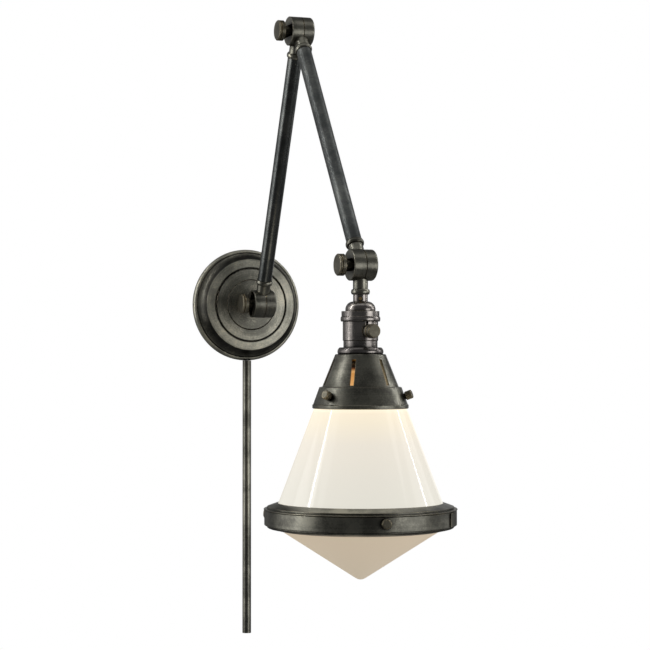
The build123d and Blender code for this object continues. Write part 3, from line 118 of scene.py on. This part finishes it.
# %% A finish and its one way of adding nodes
class Finish:
    """A material with a Principled shader, and a short way to add nodes to it."""

    def __init__(self, name, **constants):
        self.material = bpy.data.materials.new(name)
        self.material.use_nodes = True
        self.tree = self.material.node_tree
        self.tree.nodes.clear()
        output = self.tree.nodes.new("ShaderNodeOutputMaterial")
        self.shader = self.tree.nodes.new("ShaderNodeBsdfPrincipled")
        self.tree.links.new(self.shader.outputs[0], output.inputs["Surface"])
        for socket, value in constants.items():
            self.shader.inputs[socket.replace("_", " ")].default_value = value

    def add(self, kind, settings, *inputs, out=0, **named):
        """Add a node: its settings first, then its inputs by order or by name."""
        node = self.tree.nodes.new(kind)
        stops = settings.pop("stops", None)
        for key, value in settings.items():
            setattr(node, key, value)
        if stops:
            for spare in range(len(stops) - 2):
                node.color_ramp.elements.new(0.5)
            for element, (position, colour) in zip(node.color_ramp.elements, stops):
                element.position = position
                element.color = (*colour, 1)
        pairs = list(enumerate(inputs)) + [(k.replace("_", " "), v) for k, v in named.items()]
        for key, value in pairs:
            self.join(value, node.inputs[key])
        return Wire(self, node.outputs[out])

    def join(self, value, socket):
        """Set a socket to a value, or link it to a wire."""
        if isinstance(value, Wire):
            self.tree.links.new(value.socket, socket)
        else:
            socket.default_value = value

    def place(self):
        return self.add("ShaderNodeTexCoord", {}, out="Object")

    def noise(self, where, scale, detail=3.0, roughness=0.5):
        return self.add("ShaderNodeTexNoise", {}, Vector=where, Scale=scale, Detail=detail,
                        Roughness=roughness)

    def ramp(self, factor, *stops):
        return self.add("ShaderNodeValToRGB", {"stops": stops}, factor)

    def between(self, factor, low, high):
        """How far a factor is between two values, from 0 to 1."""
        return self.add("ShaderNodeMapRange", {"interpolation_type": "SMOOTHSTEP"}, factor, low, high)

    def mix(self, factor, first, second, blend="MIX"):
        """Mix two colours, which are given as (r, g, b) or as wires."""
        node = self.tree.nodes.new("ShaderNodeMix")
        node.data_type = "RGBA"
        node.blend_type = blend
        self.join(factor, node.inputs[0])
        for colour, index in ((first, 6), (second, 7)):
            self.join(colour if isinstance(colour, Wire) else (*colour, 1), node.inputs[index])
        return Wire(self, node.outputs[2])

    def use(self, socket, wire):
        self.join(wire, self.shader.inputs[socket])


print("finish helpers ready")

# %% [markdown]
# ## Aged bronze
# The metal is brass that was darkened with acid and then waxed. It is nearly black-green where the
# acid stayed, greyer where it was rubbed, and shows warm brass on sharp edges. The edges are found
# with a Bevel node: where the rounded normal leaves the true one, there is an edge. The same rounded
# normal softens the edge in the light. Fine marks of the lathe and the spinning tool run round each
# turned piece, so the pattern is read along the piece and across it, never around it. Crevices are
# painted dark as shade. The canopy's finish also takes a painted brightness for each radius: painted
# highlight on its flat rings and rim, and painted shade in its lines, grooves and hollow.


# %% Marks that run round an axis
DRIFT, DRIFT_SCALE = 0.0006, 60  # how far the rings wander, in metres, and how often


def along_and_out(finish, where, centre, axis):
    """How far a place is along an axis through a centre, and how far out from that axis."""
    moved = finish.add("ShaderNodeVectorMath", {"operation": "SUBTRACT"}, where, tuple(centre))
    along = finish.add("ShaderNodeVectorMath", {"operation": "DOT_PRODUCT"}, moved, tuple(axis),
                       out="Value")
    across = finish.add("ShaderNodeVectorMath", {"operation": "CROSS_PRODUCT"}, moved, tuple(axis))
    radius = finish.add("ShaderNodeVectorMath", {"operation": "LENGTH"}, across, out="Value")
    return along, radius


def turning_marks(finish, where, along, radius, scale):
    """Fine rings about an axis, with a slow drift so that they aren't perfect."""
    drift = finish.noise(where, DRIFT_SCALE, 2) * DRIFT
    pair = finish.add("ShaderNodeCombineXYZ", {}, along + drift, radius + drift, 0.0)
    return finish.noise(pair, scale, 4, 0.65)


# %% One recipe for every dark metal
CLOUD_SCALE, SPECK_SCALE, RING_SCALE = 38, 700, 900
CREVICE_REACH = 0.006  # metres from a corner that is painted dark as shade
# The colour painted into crevices and corners as shade.
CREVICE_SHADE = (0.006, 0.006, 0.005)


def aged_metal(name, dark, light, worn, centre, axis, roughness=0.34, wear=1.0, marks=0.12,
               spun=0.15, scuffs=0.12, edge_width=0.0005, ring_shading=None):
    """Darkened brass: patina clouds, rubbed spots, turning marks, bright worn edges and painted shade
    in crevices.

    The last argument takes (radius in mm, brightness) pairs: painted highlight and shade, ring by
    ring.
    """
    finish = Finish(name, Metallic=1.0, Coat_Weight=0.12, Coat_Roughness=0.25)
    where = finish.place()
    along, radius = along_and_out(finish, where, centre, axis)
    clouds = finish.noise(where, CLOUD_SCALE, 5, 0.6)
    specks = finish.noise(where, SPECK_SCALE, 3, 0.7)
    rings = turning_marks(finish, where, along, radius, RING_SCALE)
    patina = finish.between(clouds * (0.8 - spun) + specks * 0.2 + rings * spun, 0.38, 0.62)
    rounded = finish.add("ShaderNodeBevel", {"samples": 6}, edge_width)
    true_normal = finish.add("ShaderNodeNewGeometry", {}, out="Normal")
    match = finish.add("ShaderNodeVectorMath", {"operation": "DOT_PRODUCT"}, rounded, true_normal,
                       out="Value")
    # Ambient occlusion finds crevices and corners, which are painted dark as shade; worn edges stay
    # out of them.
    crevice = finish.add("ShaderNodeAmbientOcclusion", {"samples": 6}, Distance=CREVICE_REACH,
                         out="AO")
    unshaded = finish.between(crevice, 0.42, 0.90)
    edge = finish.between((1 - match) * (0.4 + specks * 1.2), 0.02, 0.16) * unshaded
    body = finish.mix(patina, dark, light)
    # A ramp by radius paints highlight and shade on each ring.
    if ring_shading:
        reach = ring_shading[-1][0]
        stops = [(at / reach, (ring_light, ring_light, ring_light)) for at, ring_light in ring_shading]
        ring_light = finish.ramp(radius * (1 / (reach * MM)), *stops)
        body = finish.mix(1.0, body, ring_light, "MULTIPLY")
    # Painted shade: crevices and corners take the dark crevice colour.
    shaded_body = finish.mix(unshaded, CREVICE_SHADE, body)
    rubbed = finish.between(specks * 0.6 + clouds * 0.4, 0.50, 0.64) * scuffs
    matt = patina * -0.06 + rings * 0.10 + (roughness - 0.02)
    # Scuffs and roughness follow the painted ring brightness too.
    if ring_shading:
        rubbed = rubbed * ring_light
        matt = matt + ring_light * 0.12
    finish.use("Base Color", finish.mix((edge * wear).math("MAXIMUM", rubbed), shaded_body, worn))
    finish.use("Roughness", matt)
    height = rings * marks + specks * 0.08
    bump = finish.add("ShaderNodeBump", {}, Strength=0.16, Distance=0.00012, Height=height,
                      Normal=rounded)
    finish.use("Normal", bump)
    return finish.material


# %% The bronze of each kind of piece
DARK, LIGHT, WORN = (0.112, 0.109, 0.091), (0.290, 0.283, 0.235), (0.42, 0.35, 0.22)
TUBE_DARK, TUBE_LIGHT = (0.075, 0.080, 0.078), (0.165, 0.174, 0.169)
KNOB_DARK, KNOB_LIGHT, KNOB_WORN = (0.13, 0.120, 0.090), (0.27, 0.250, 0.195), (0.55, 0.44, 0.26)
UP, ACROSS, TO_WALL = (0, 0, 1), (1, 0, 0), (0, 1, 0)
CANOPY_CENTRE, COVER_CENTRE = (0, 0, 0), (0, -0.00475, 0)
lower_line = (elbow - wall_pivot).normalized()
upper_line = (head - elbow).normalized()
# The canopy's rings from the middle out: cone, fine line, face, black groove, bright ring, dark
# hollow, fine line, rounded rim. Their brightness is painted light: the dark lines, groove and hollow
# are painted shade, the bright ring and rim are painted highlight.
CANOPY_RING_SHADING = [
    (0, 0.38), (26.5, 0.55), (26.9, 0.04), (27.7, 0.04), (28.1, 0.62), (38.5, 0.80), (38.9, 0.02),
    (41.1, 0.02), (41.5, 1.0), (49.6, 1.0), (50.1, 0.10), (53.0, 0.14), (56.6, 0.34), (57.1, 0.02),
    (57.9, 0.02), (58.3, 1.0), (61.2, 1.0),
]
finishes = {
    # The canopy's base colours are lighter than the other bronze; its painted ring brightness scales
    # them down.
    "canopy": aged_metal("canopy_bronze", (0.24, 0.236, 0.198), (0.56, 0.545, 0.455),
                         (0.62, 0.56, 0.42), CANOPY_CENTRE, TO_WALL, marks=0.2, spun=0.3,
                         scuffs=0.9, ring_shading=CANOPY_RING_SHADING),
    "head": aged_metal("spun_bronze", DARK, LIGHT, WORN, head, UP),
    "socket": aged_metal("socket_bronze", (0.165, 0.151, 0.143), (0.36, 0.332, 0.310), WORN,
                         head, UP, roughness=0.25),
    "cover": aged_metal("cover_bronze", DARK, LIGHT, WORN, COVER_CENTRE, UP),
    "lower_tube": aged_metal("lower_tube_bronze", TUBE_DARK, TUBE_LIGHT, WORN, wall_pivot,
                             lower_line, roughness=0.28, marks=0.05),
    "upper_tube": aged_metal("upper_tube_bronze", TUBE_DARK, TUBE_LIGHT, WORN, elbow, upper_line,
                             roughness=0.44, marks=0.05),
}
for name, pivot in (("wall_joint", wall_pivot), ("elbow", elbow), ("shade_joint", head)):
    finishes[name] = aged_metal(name + "_bronze", DARK, LIGHT, WORN, pivot, ACROSS, wear=1.3)
    finishes[name + "_knob"] = aged_metal(name + "_knob_bronze", KNOB_DARK, KNOB_LIGHT, KNOB_WORN,
                                          pivot, ACROSS, roughness=0.40, wear=1.6,
                                          edge_width=0.0011)
print("bronze finishes:", ", ".join(finishes))

# %% [markdown]
# ## Bare metals, rubber and card
# Inside the light the metal is left as it was made: yellow brass on threads and contacts, grey zinc
# on bolts and spring washers. Rubber, card and wire covering are dull and barely varied.


# %% Bare metal and dull stuff
TARNISH_SCALE, GRAIN_SCALE = 90, 1500


def bare_metal(name, colour, stain, roughness):
    """Machined metal with a faint grain and a little tarnish."""
    finish = Finish(name, Metallic=1.0)
    where = finish.place()
    tarnish = finish.between(finish.noise(where, TARNISH_SCALE, 5, 0.6), 0.35, 0.75)
    grain = finish.noise(where, GRAIN_SCALE, 2, 0.6)
    finish.use("Base Color", finish.mix(tarnish, colour, stain))
    finish.use("Roughness", tarnish * 0.15 + grain * 0.08 + roughness)
    bump = finish.add("ShaderNodeBump", {}, Strength=0.15, Distance=0.0001, Height=grain)
    finish.use("Normal", bump)
    return finish.material


def dull(name, colour, lighter, scale, roughness):
    """Rubber, card, plastic: a soft mottle and a fine tooth."""
    finish = Finish(name)
    where = finish.place()
    mottle = finish.noise(where, scale, 4, 0.6)
    tooth = finish.noise(where, scale * 12, 2, 0.5)
    finish.use("Base Color", finish.mix(mottle, colour, lighter))
    finish.use("Roughness", mottle * 0.15 + roughness)
    bump = finish.add("ShaderNodeBump", {}, Strength=0.3, Distance=0.0002, Height=tooth)
    finish.use("Normal", bump)
    return finish.material


finishes["brass"] = bare_metal("bare_brass", (0.80, 0.60, 0.30), (0.45, 0.30, 0.13), 0.22)
finishes["zinc"] = bare_metal("zinc_steel", (0.62, 0.62, 0.60), (0.36, 0.35, 0.33), 0.28)
finishes["rubber"] = dull("black_rubber", (0.018, 0.018, 0.018), (0.035, 0.034, 0.033), 120, 0.62)
finishes["card"] = dull("fibre_card", (0.030, 0.026, 0.022), (0.060, 0.052, 0.044), 200, 0.75)
finishes["moulding"] = dull("brown_moulding", (0.050, 0.032, 0.024), (0.080, 0.052, 0.038), 90, 0.35)
finishes["lead"] = dull("lead_covering", (0.62, 0.58, 0.50), (0.74, 0.70, 0.62), 150, 0.5)
print("plain finishes ready")

# %% [markdown]
# ## Opal glass
# Opal glass is white all through. The light of the bulb that comes through it is painted on as
# emission: a painted glow. The upper shade is glossy, and its painted glow is warm, strongest under
# the holder and fading down the cone. The lower one is etched: the same glass with a dull skin, and
# its painted glow is dimmer and beige, for the less light that comes through it.


# %% Glass that glows by height
SEED_SCALE, RIPPLE_SCALE, SKIN_SCALE = 45, 60, 1400


def opal(name, glow, body, span, roughness, skin):
    """Opal glass whose painted glow and tint follow the height over a span of two drops in mm."""
    finish = Finish(name, Emission_Strength=1.0, IOR=1.5)
    where = finish.place()
    height = finish.add("ShaderNodeSeparateXYZ", {}, where, out="Z")
    fall = finish.add("ShaderNodeMapRange", {}, height, *(level(drop) for drop in span))
    seeds = finish.noise(where, SEED_SCALE, 3, 0.5)
    tint = finish.ramp(fall + (seeds - 0.5) * 0.03, *body)
    finish.use("Base Color", tint)
    # The emission colour is the painted glow: the bulb's light through the glass, by height.
    finish.use("Emission Color", finish.ramp(fall, *glow))
    finish.use("Roughness", seeds * 0.04 + roughness)
    tooth = finish.noise(where, SKIN_SCALE, 2, 0.5)
    ripple = finish.noise(where, RIPPLE_SCALE, 2, 0.4) + tooth * skin
    bump = finish.add("ShaderNodeBump", {}, Strength=0.12, Distance=0.0004, Height=ripple)
    finish.use("Normal", bump)
    return finish.material


def level(drop_mm):
    """Height of a place that many millimetres below the shade hinge."""
    return head.z - drop_mm * MM


# %% Painted glow and tint of each glass, from the top of its span (0) to the bottom (1)
UPPER_SPAN, LOWER_SPAN, BULB_SPAN = (134.5, 223), (247, 295), (76, 176)
UPPER_PAINTED_GLOW = (
    (0.0, (1.05, 0.92, 0.70)), (0.04, (0.86, 0.75, 0.575)), (0.12, (0.82, 0.73, 0.565)),
    (0.36, (0.725, 0.67, 0.575)), (0.70, (0.68, 0.645, 0.565)), (1.0, (0.66, 0.635, 0.56)),
)
UPPER_BODY = ((0.0, (0.36, 0.35, 0.325)), (1.0, (0.34, 0.34, 0.32)))
LOWER_PAINTED_GLOW = ((0.0, (0.46, 0.378, 0.275)), (1.0, (0.43, 0.365, 0.275)))
LOWER_BODY = ((0.0, (0.52, 0.45, 0.37)), (1.0, (0.50, 0.44, 0.36)))
# Through the vents the bulb shows a dark neck, which is painted shade, a bright line at the shoulder,
# which is a painted highlight, and an amber globe.
BULB_GLOW_AND_SHADE = (
    (0.0, (0.002, 0.001, 0.001)), (0.20, (0.002, 0.001, 0.001)), (0.215, (0.16, 0.055, 0.018)),
    (0.24, (0.66, 0.36, 0.13)), (0.26, (0.52, 0.235, 0.060)), (0.36, (0.60, 0.29, 0.080)),
    (0.43, (0.80, 0.50, 0.20)), (1.0, (1.0, 0.62, 0.30)),
)
# Its body colour is also dark at the neck as painted shade.
BULB_BODY_AND_SHADE = (
    (0.0, (0.03, 0.02, 0.02)), (0.2, (0.03, 0.02, 0.02)), (0.25, (0.12, 0.08, 0.05)),
    (0.45, (0.5, 0.45, 0.4)), (1.0, (0.9, 0.85, 0.8)),
)
finishes["upper_opal"] = opal("glossy_opal", UPPER_PAINTED_GLOW, UPPER_BODY, UPPER_SPAN, 0.05, 0.0)
finishes["lower_opal"] = opal("satin_opal", LOWER_PAINTED_GLOW, LOWER_BODY, LOWER_SPAN, 0.42, 0.6)
finishes["bulb"] = opal("frosted_bulb", BULB_GLOW_AND_SHADE, BULB_BODY_AND_SHADE, BULB_SPAN, 0.25, 0.3)
print("glass from", round(level(UPPER_SPAN[0]), 4), "down to", round(level(LOWER_SPAN[1]), 4))

# %% [markdown]
# ## Which piece gets which finish
# Each node of the frame has one material slot. The table below gives a finish to each node by its
# full name, and a node that it doesn't name has the head's spun bronze.

# %% Dress the frame
CHOSEN = {
    "canopy": "canopy", "mounting_bracket": "zinc", "canopy_set_screws": "zinc",
    "stem_bushing": "canopy", "cord_cover": "cover", "cord_grommet": "rubber",
    "swivel_nipple": "brass", "swivel_locknut": "brass", "swivel_washer": "canopy",
    "lower_arm_tube": "lower_tube", "upper_arm_tube": "upper_tube", "lower_arm_plugs": "brass",
    "upper_arm_plugs": "brass", "lower_arm_nipples": "brass", "upper_arm_nipples": "brass",
    "shade_nipple": "brass", "lower_arm_leads": "lead", "upper_arm_leads": "lead",
    "shade_leads": "lead", "socket_cap": "socket", "socket_shell": "socket",
    "shade_clamp_ring": "socket", "cap_set_screw": "brass", "socket_liner": "card",
    "socket_interior": "moulding", "screw_shell": "brass", "center_contact": "brass",
    "holder_lock_ring": "socket", "upper_glass": "upper_opal", "lower_glass": "lower_opal",
    "glass_gasket": "rubber", "glass_retaining_ring": "zinc", "bulb_glass": "bulb",
    "bulb_base": "brass", "switch_knob": "shade_joint_knob", "holder_thumbscrews": "shade_joint_knob",
    "ring_screws": "shade_joint_knob",
}
for joint in ("wall_joint", "elbow", "shade_joint"):
    CHOSEN[joint + "_fixed_half"] = joint
    CHOSEN[joint + "_moving_half"] = joint
    CHOSEN[joint + "_knob"] = joint + "_knob"
    CHOSEN[joint + "_bolt"] = "zinc"
    CHOSEN[joint + "_wave_washer"] = "zinc"
    CHOSEN[joint + "_friction_washer"] = "card"


def dress(piece, finish_name):
    """Give a piece one finish all over."""
    piece.data.materials.clear()
    piece.data.materials.append(finishes[finish_name])


for name, node in nodes.items():
    dress(node, CHOSEN.get(name, "head"))
print("dressed", len(nodes), "nodes")

# %% [markdown]
# ## Glass with soft edges
# Blown and pressed glass has no sharp corner anywhere. The two shades and the bulb are modelled again
# for that. Each is a round wall, so it is made the way a potter would: a circle is added, then
# extruded ring by ring along a profile, each ring moved and scaled about the axis. The profile is a
# short list of corners in millimetres (radius, drop below the shade hinge), and one function rounds
# every corner first. Spinning a drawn profile would do too, but it needs its seam merged afterwards.


# %% Round the corners of a profile
EDGE_RADIUS, SMOOTH_BELOW = 1.2, 35  # mm, degrees


def rounded(corners, radius, steps=4):
    """Replace each corner that isn't an end by a short curve that starts and ends on its sides."""
    points = [corners[0]]
    for before, corner, after in zip(corners, corners[1:], corners[2:]):
        here = Vector(corner)
        sides = [Vector(before) - here, Vector(after) - here]
        reach = min(radius, *(side.length * 0.45 for side in sides))
        start, end = (here + side.normalized() * reach for side in sides)
        for step in range(steps + 1):
            t = step / steps
            points.append(tuple(start.lerp(here, t).lerp(here.lerp(end, t), t)))
    return points + [corners[-1]]


# %% Extrude a circle along a profile
def lathe(name, profile, segments=160, bridged=False):
    """A round piece about the head's axis. Its open ends are bridged to each other or filled."""
    bpy.ops.object.select_all(action="DESELECT")
    radius, drop = profile[0]
    bpy.ops.mesh.primitive_circle_add(vertices=segments, radius=radius * MM,
                                      location=(head.x, head.y, level(drop)))
    piece = bpy.context.object
    piece.name = name
    bpy.ops.object.mode_set(mode="EDIT")
    bpy.ops.mesh.select_all(action="SELECT")
    for next_radius, next_drop in profile[1:]:
        fall = (drop - next_drop) * MM
        bpy.ops.mesh.extrude_region_move(TRANSFORM_OT_translate={"value": (0, 0, fall)})
        grow = next_radius / radius
        bpy.ops.transform.resize(value=(grow, grow, 1),
                                 center_override=(head.x, head.y, level(next_drop)))
        radius, drop = next_radius, next_drop
    bpy.ops.mesh.select_all(action="DESELECT")
    bpy.ops.mesh.select_non_manifold()
    if bridged:
        bpy.ops.mesh.bridge_edge_loops()
    else:
        bpy.ops.mesh.fill_holes(sides=0)
    bpy.ops.mesh.select_all(action="SELECT")
    bpy.ops.mesh.normals_make_consistent(inside=False)
    bpy.ops.object.mode_set(mode="OBJECT")
    bpy.ops.object.transform_apply(location=True, rotation=True, scale=True)
    bpy.ops.object.shade_smooth_by_angle(angle=math.radians(SMOOTH_BELOW))
    print(name, len(piece.data.polygons), "faces")
    return piece


# %% [markdown]
# ## Upper shade
# The upper glass is a cone with a straight neck that the holder's three screws grip, and a flat
# flange at the foot that lies in the ring. The wall is 3 mm. Its profile runs down the outside, round
# the flange and back up the inside, and the two open ends meet at the top of the neck.

# %% Model the upper glass
upper_corners = [
    (36.2, 118.2), (37.4, 118.2), (37.4, 120.8), (35.9, 122.0), (35.9, 126.4), (41.1, 127.9),
    (79.5, 229.2), (85.6, 229.2), (85.6, 231.6), (77.4, 231.6), (38.1, 129.3), (32.9, 127.7),
    (32.9, 118.2), (34.4, 118.2),
]
upper_glass = lathe("upper_glass_blown", rounded(upper_corners, EDGE_RADIUS), bridged=True)
dress(upper_glass, "upper_opal")
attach(upper_glass, "shade_head")
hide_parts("upper_glass")

# %% [markdown]
# ## Lower shade
# The lower glass is pressed in a mould: a shallow cone that ends in a blunt tip, with a flange that
# rests on the ring's inner lip. It starts at the middle of the inside and ends at the tip outside,
# so both ends are tiny circles, which are filled.

# %% Model the lower glass
lower_corners = [
    (0.4, 291.9), (73.0, 244.8), (73.0, 241.6), (86.1, 241.6), (86.1, 244.5), (76.0, 246.8),
    (75.8, 247.7), (5.2, 292.9), (2.6, 294.3), (0.4, 294.6),
]
lower_glass = lathe("lower_glass_pressed", rounded(lower_corners, EDGE_RADIUS))
dress(lower_glass, "lower_opal")
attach(lower_glass, "lower_shade")
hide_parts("lower_glass")

# %% [markdown]
# ## The bulb
# A frosted globe bulb hangs inside. Its neck runs into the globe in one soft curve, which is a
# quarter of an ellipse here. Its base has a rolled thread, which is a wave along the profile with
# one crest every 3.6 mm, and it takes the socket's dark bronze as painted shade, for the shadow
# inside the socket.

# %% Model the bulb
GLOBE_RADIUS, GLOBE_DROP, TIP_RADIUS = 30.0, 146.0, 0.4
NECK_RADIUS, NECK_TOP, NECK_END, FLARE_LENGTH = 12.1, 76.5, 99.0, 22
flare = GLOBE_RADIUS - NECK_RADIUS
neck_turns = [math.radians(90 * step / 12) for step in range(13)]
globe_turns = [math.radians(-48 + 138 * step / 28) for step in range(29)]
bulb_profile = [(NECK_RADIUS, NECK_TOP)]
bulb_profile += [(NECK_RADIUS + flare * (1 - math.cos(turn)) * 0.5,
                  NECK_END + FLARE_LENGTH * math.sin(turn)) for turn in neck_turns]
bulb_profile += [(max(GLOBE_RADIUS * math.cos(turn), TIP_RADIUS),
                  GLOBE_DROP + GLOBE_RADIUS * math.sin(turn)) for turn in globe_turns]
bulb = lathe("bulb_globe", bulb_profile, segments=96)
dress(bulb, "bulb")
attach(bulb, "bulb")
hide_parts("bulb_glass")

# %% Model the bulb's screw base
CREST, VALLEY, PITCH = 13.2, 12.5, 3.6
THREAD_TOP, THREAD_TURNS, STEPS = 75.6, 4, 8
thread = [(VALLEY + (CREST - VALLEY) * (0.5 - 0.5 * math.cos(2 * math.pi * step / STEPS)),
           THREAD_TOP + PITCH * step / STEPS) for step in range(THREAD_TURNS * STEPS + 1)]
base_profile = [(0.6, 69.1), (4.5, 69.1), (5.5, 70.3), (9.0, 72.3), (12.4, 74.6)] + thread
base_profile += [(13.2, 91.0), (13.2, 93.0), (12.3, 93.0), (11.9, 90.0), (0.6, 88.0)]
screw_base = lathe("bulb_screw_base", base_profile, segments=96)
# The brass base is given the socket's dark bronze: painted shade.
dress(screw_base, "socket")
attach(screw_base, "bulb")
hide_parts("bulb_base")

# %% [markdown]
# ## The room
# The background is white to the eye, so only the object is seen. Dark metal shows its shape by what
# it mirrors, so to the metal the surroundings are dim, with soft panels in front, at both sides,
# above and behind. Two narrow strips, one at each side, make the long streaks on the glass.


# %% White to the eye, dim to everything else
WHITE, DIM, PALE = (1, 1, 1, 1), (0.09, 0.092, 0.094, 1), (0.35, 0.35, 0.35, 1)
FLOOR_SIZE, FLOOR_LEVEL = 12, -1.6

world = bpy.data.worlds.new("studio")
world.use_nodes = True
bpy.context.scene.world = world
sky = world.node_tree
sight = sky.nodes.new("ShaderNodeLightPath")
choose = sky.nodes.new("ShaderNodeMix")
choose.data_type = "RGBA"
choose.inputs[6].default_value = DIM
choose.inputs[7].default_value = WHITE
sky.links.new(sight.outputs["Is Camera Ray"], choose.inputs[0])
sky.links.new(choose.outputs[2], sky.nodes["Background"].inputs["Color"])
bpy.context.scene.view_settings.view_transform = "Standard"

# %% Pale floor
bpy.ops.object.select_all(action="DESELECT")
bpy.ops.mesh.primitive_plane_add(size=FLOOR_SIZE, location=(0, 0, FLOOR_LEVEL))
floor = bpy.context.object
floor.name = "floor"
pale = bpy.data.materials.new("pale_floor")
pale.use_nodes = True
sheet = pale.node_tree.nodes
glow = sheet.new("ShaderNodeEmission")
glow.inputs["Color"].default_value = WHITE
matte = sheet.new("ShaderNodeBsdfDiffuse")
matte.inputs["Color"].default_value = PALE
sight = sheet.new("ShaderNodeLightPath")
either = sheet.new("ShaderNodeMixShader")
pale.node_tree.links.new(sight.outputs["Is Camera Ray"], either.inputs[0])
pale.node_tree.links.new(matte.outputs[0], either.inputs[1])
pale.node_tree.links.new(glow.outputs[0], either.inputs[2])
pale.node_tree.links.new(either.outputs[0], sheet["Material Output"].inputs[0])
floor.data.materials.append(pale)
print("floor at", floor.location.z)


# %% Soft lamps
AIM = Vector((0, -0.24, -0.10))
# Degrees round from the front, degrees above level, distance, width, height, brightness.
LAMPS = {
    "right_panel": (38, -3, 2.2, 1.4, 1.1, 2.1),
    "right_side_panel": (88, 10, 2.2, 1.5, 1.5, 0.55),
    "left_panel": (-104, 5, 2.0, 2.2, 1.7, 0.85),
    "left_edge_panel": (-100, 10, 1.9, 0.3, 1.7, 2.2),
    "left_high_panel": (-108, 50, 2.0, 1.8, 1.1, 0.55),
    "right_high_panel": (75, 48, 2.0, 1.6, 1.1, 0.7),
    "top_panel": (-20, 72, 2.0, 1.6, 1.0, 0.5),
    "back_left_panel": (-158, 12, 2.2, 1.4, 1.5, 0.15),
    "back_right_panel": (150, 12, 2.2, 1.5, 1.5, 0.3),
    "left_strip": (-102, 33, 1.9, 0.06, 1.5, 15),
    "right_strip": (86, 27, 1.9, 0.06, 1.5, 11),
}


def soft_lamp(name, azimuth, rise, distance, width, tall, glow):
    """A soft rectangle of a given size and brightness that faces the light."""
    turn, up = math.radians(azimuth), math.radians(rise)
    level_way = Vector((math.sin(turn), -math.cos(turn), 0)) * math.cos(up)
    place = AIM + (level_way + Vector((0, 0, math.sin(up)))) * distance
    data = bpy.data.lights.new(name, "AREA")
    data.shape = "RECTANGLE"
    data.size = width
    data.size_y = tall
    data.energy = glow * math.pi * width * tall
    lamp = bpy.data.objects.new(name, data)
    lamp.location = place
    lamp.rotation_euler = (AIM - place).to_track_quat("-Z", "Y").to_euler()
    bpy.context.scene.collection.objects.link(lamp)


for name, numbers in LAMPS.items():
    soft_lamp(name, *numbers)
print("lamps placed")
